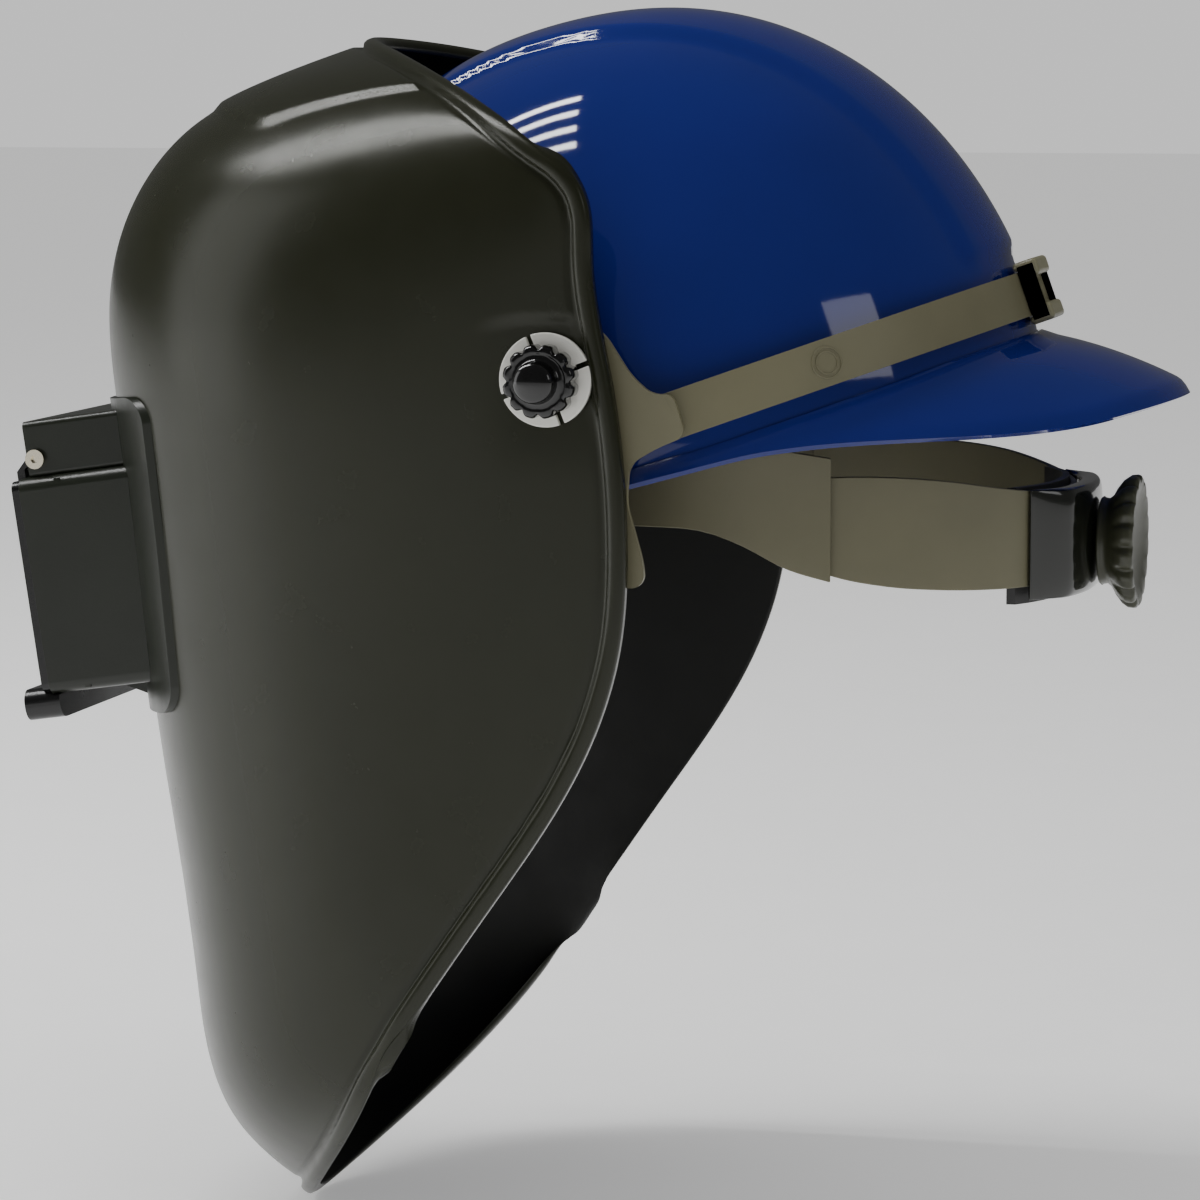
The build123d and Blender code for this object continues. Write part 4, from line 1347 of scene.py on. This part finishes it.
# ---------------------------------------------------------------- studio
@dataclass
class Studio:
    """Floor, lights and camera.

    Args:
        target: point that the camera looks at.
        distance: camera to target.
        azimuth: camera's angle from +X towards +Y, in degrees.
        elevation: camera's angle above level, in degrees.
        lens: focal length in millimetres on a 36 mm sensor.
        floor_gap: clear height between the floor and the lowest piece.
        daylight: strength of the even light from above.
        room: brightness of the room round the helmet.
        backdrop: brightness behind it.
        glow: light that the floor gives off.
        floor_size: width of the floor.
    """

    target: Vector
    distance: float = 1.5
    azimuth: float = 14.0
    elevation: float = 6.8
    lens: float = 139.5
    floor_gap: float = 0.0005
    daylight: float = 1.1
    room: float = 0.1
    backdrop: float = 0.77
    glow: float = 0.3
    floor_size: float = 30.0

    def camera(self) -> None:
        """Puts the camera on the wearer's left, a little to the rear."""
        turn = math.radians(self.azimuth)
        rise = math.radians(self.elevation)
        away = Vector((math.cos(rise) * math.cos(turn), math.cos(rise) * math.sin(turn), math.sin(rise)))
        data = bpy.data.cameras.new("camera")
        data.lens = self.lens
        data.sensor_width = 36.0
        data.clip_end = 60.0
        camera = shown("camera", data)
        camera.location = self.target + self.distance * away
        camera.rotation_euler = (-away).to_track_quat("-Z", "Y").to_euler()
        bpy.context.scene.camera = camera

    def light(self, name: str, place: tuple[float, float, float], size: tuple[float, float],
              power: float, level: bool = False) -> None:
        """One soft box.

        Args:
            name: light's name.
            place: where it stands.
            size: width and height.
            power: watts.
            level: faces straight down, and otherwise the target.
        """
        data = bpy.data.lights.new(name, "AREA")
        data.shape = "RECTANGLE"
        data.size = size[0]
        data.size_y = size[1]
        data.energy = power
        lamp = shown(name, data)
        lamp.location = place
        if not level:
            lamp.rotation_euler = (self.target - Vector(place)).to_track_quat("-Z", "Y").to_euler()

    def lights(self) -> None:
        """Ceiling strips that show in the gloss, soft side light and an even room."""
        for k in range(4):
            self.light(f"strip_{k}", (0.2 * k - 0.15, -1.5, 1.65), (0.07, 1.8), 11.0, level=True)
        self.light("window_front", (0.7, -2.3, 0.5), (1.1, 1.5), 9.0)
        self.light("window_back", (0.9, 2.0, 0.9), (0.7, 0.7), 3.0)
        data = bpy.data.lights.new("daylight", "SUN")
        data.energy = self.daylight
        data.angle = math.radians(70)
        sun = shown("daylight", data)
        sun.rotation_euler = (math.radians(-12), math.radians(12), 0)
        sun.visible_glossy = False
        world = bpy.data.worlds.new("room")
        world.use_nodes = True
        tree = world.node_tree
        sky = tree.nodes["Background"]
        sky.inputs["Color"].default_value = (1.0, 1.0, 1.0, 1)
        seen = tree.nodes.new("ShaderNodeLightPath").outputs["Is Camera Ray"]
        tree.links.new(ranged(tree, seen, (0.0, 1.0), self.room, self.backdrop), sky.inputs["Strength"])
        bpy.context.scene.world = world

    def floor(self, lowest: float) -> None:
        """A plain pale floor just below the helmet.

        Args:
            lowest: height of the helmet's lowest point.
        """
        made = bmesh.new()
        bmesh.ops.create_grid(made, x_segments=1, y_segments=1, size=self.floor_size / 2)
        bmesh.ops.translate(made, verts=made.verts, vec=(0, 0, lowest - self.floor_gap))
        mesh = bpy.data.meshes.new("floor")
        made.to_mesh(mesh)
        made.free()
        pale = FLOOR_WHITE.material()
        shader = pale.node_tree.nodes["Principled BSDF"]
        shader.inputs["Emission Color"].default_value = (1.0, 1.0, 1.0, 1)
        shader.inputs["Emission Strength"].default_value = self.glow
        mesh.materials.append(pale)
        shown("floor", mesh)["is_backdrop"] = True


def main() -> None:
    """Builds every piece."""
    logging.basicConfig(level=logging.INFO, format="%(name)s: %(message)s")
    cad_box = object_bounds()
    HardHat().build()
    FaceShield().build()
    for side in SIDES:
        RearStrap().build(side)
        SidePlate().build(side)
        TensionKnob().build(side)
    Band("headband_moulded", "headband", "hat", 78.0,
         [(-105, 24), (-60, 23), (-20, 21), (10, 18), (36.2, 14)],
         [(-105, -9), (-50, -8), (-20, -7.7), (-4, -8.6), (9, -13), (22, -19.6), (36.2, -23.8)]).build()
    Band("nape_band_moulded", "nape_band", "nape", 75.6,
         [(2, 6), (30, 8), (50, 8.2), (68, 6.6), (84, 3.4), (94, 1.2), (99, 0.6)],
         [(2, -9), (20, -15), (34, -21.5), (50, -25), (66, -26.6), (83, -27.4), (99, -27.6)]).build()
    RatchetKnob().build()
    CrownStrap(50, 0).build("crown_strap_upper")
    CrownStrap(130, 1.6).build("crown_strap_lower")
    BrowPad().build()
    RatchetCover().build()
    refined("strap_buckle", BUCKLE_NYLON, 0.0016, "hat", 4)
    refined("lens_housing", HOUSING_GREY, 0.0007, "shield")
    refined("housing_pad", HOUSING_GREY, 0.0009, "shield")
    refined("lift_frame", BLACK_SATIN, 0.0005, "lift_front")
    for name in SIDES.values():
        refined(f"stop_disc_{name}", DISC_WHITE, 0.0003, "shield")
    dressed(BLACK_SATIN, "clamp_frame", "lift_grip", "pivot_stud_left", "pivot_stud_right")
    dressed(GASKET, "fixed_plate_gasket", "filter_gasket")
    dressed(NICKEL, "clamp_screws", "hinge_screw_left", "hinge_screw_right")
    dressed(SPRING_STEEL, "plate_spring", "detent_leaf", "filter_clip")
    dressed(FIBRE, "friction_washer_left", "friction_washer_right")
    dressed(KEY_BLACK, "suspension_keys", "ratchet_housing", "ratchet_pinion")
    dressed(CLEAR_PLATE, "fixed_plate", "cover_plate")
    dressed(FILTER_GLASS, "filter_plate")
    studio = Studio(Vector((0.0, -0.055, -0.040)))
    studio.camera()
    studio.lights()
    studio.floor(cad_box[0][2])


if __name__ == "__main__":
    main()
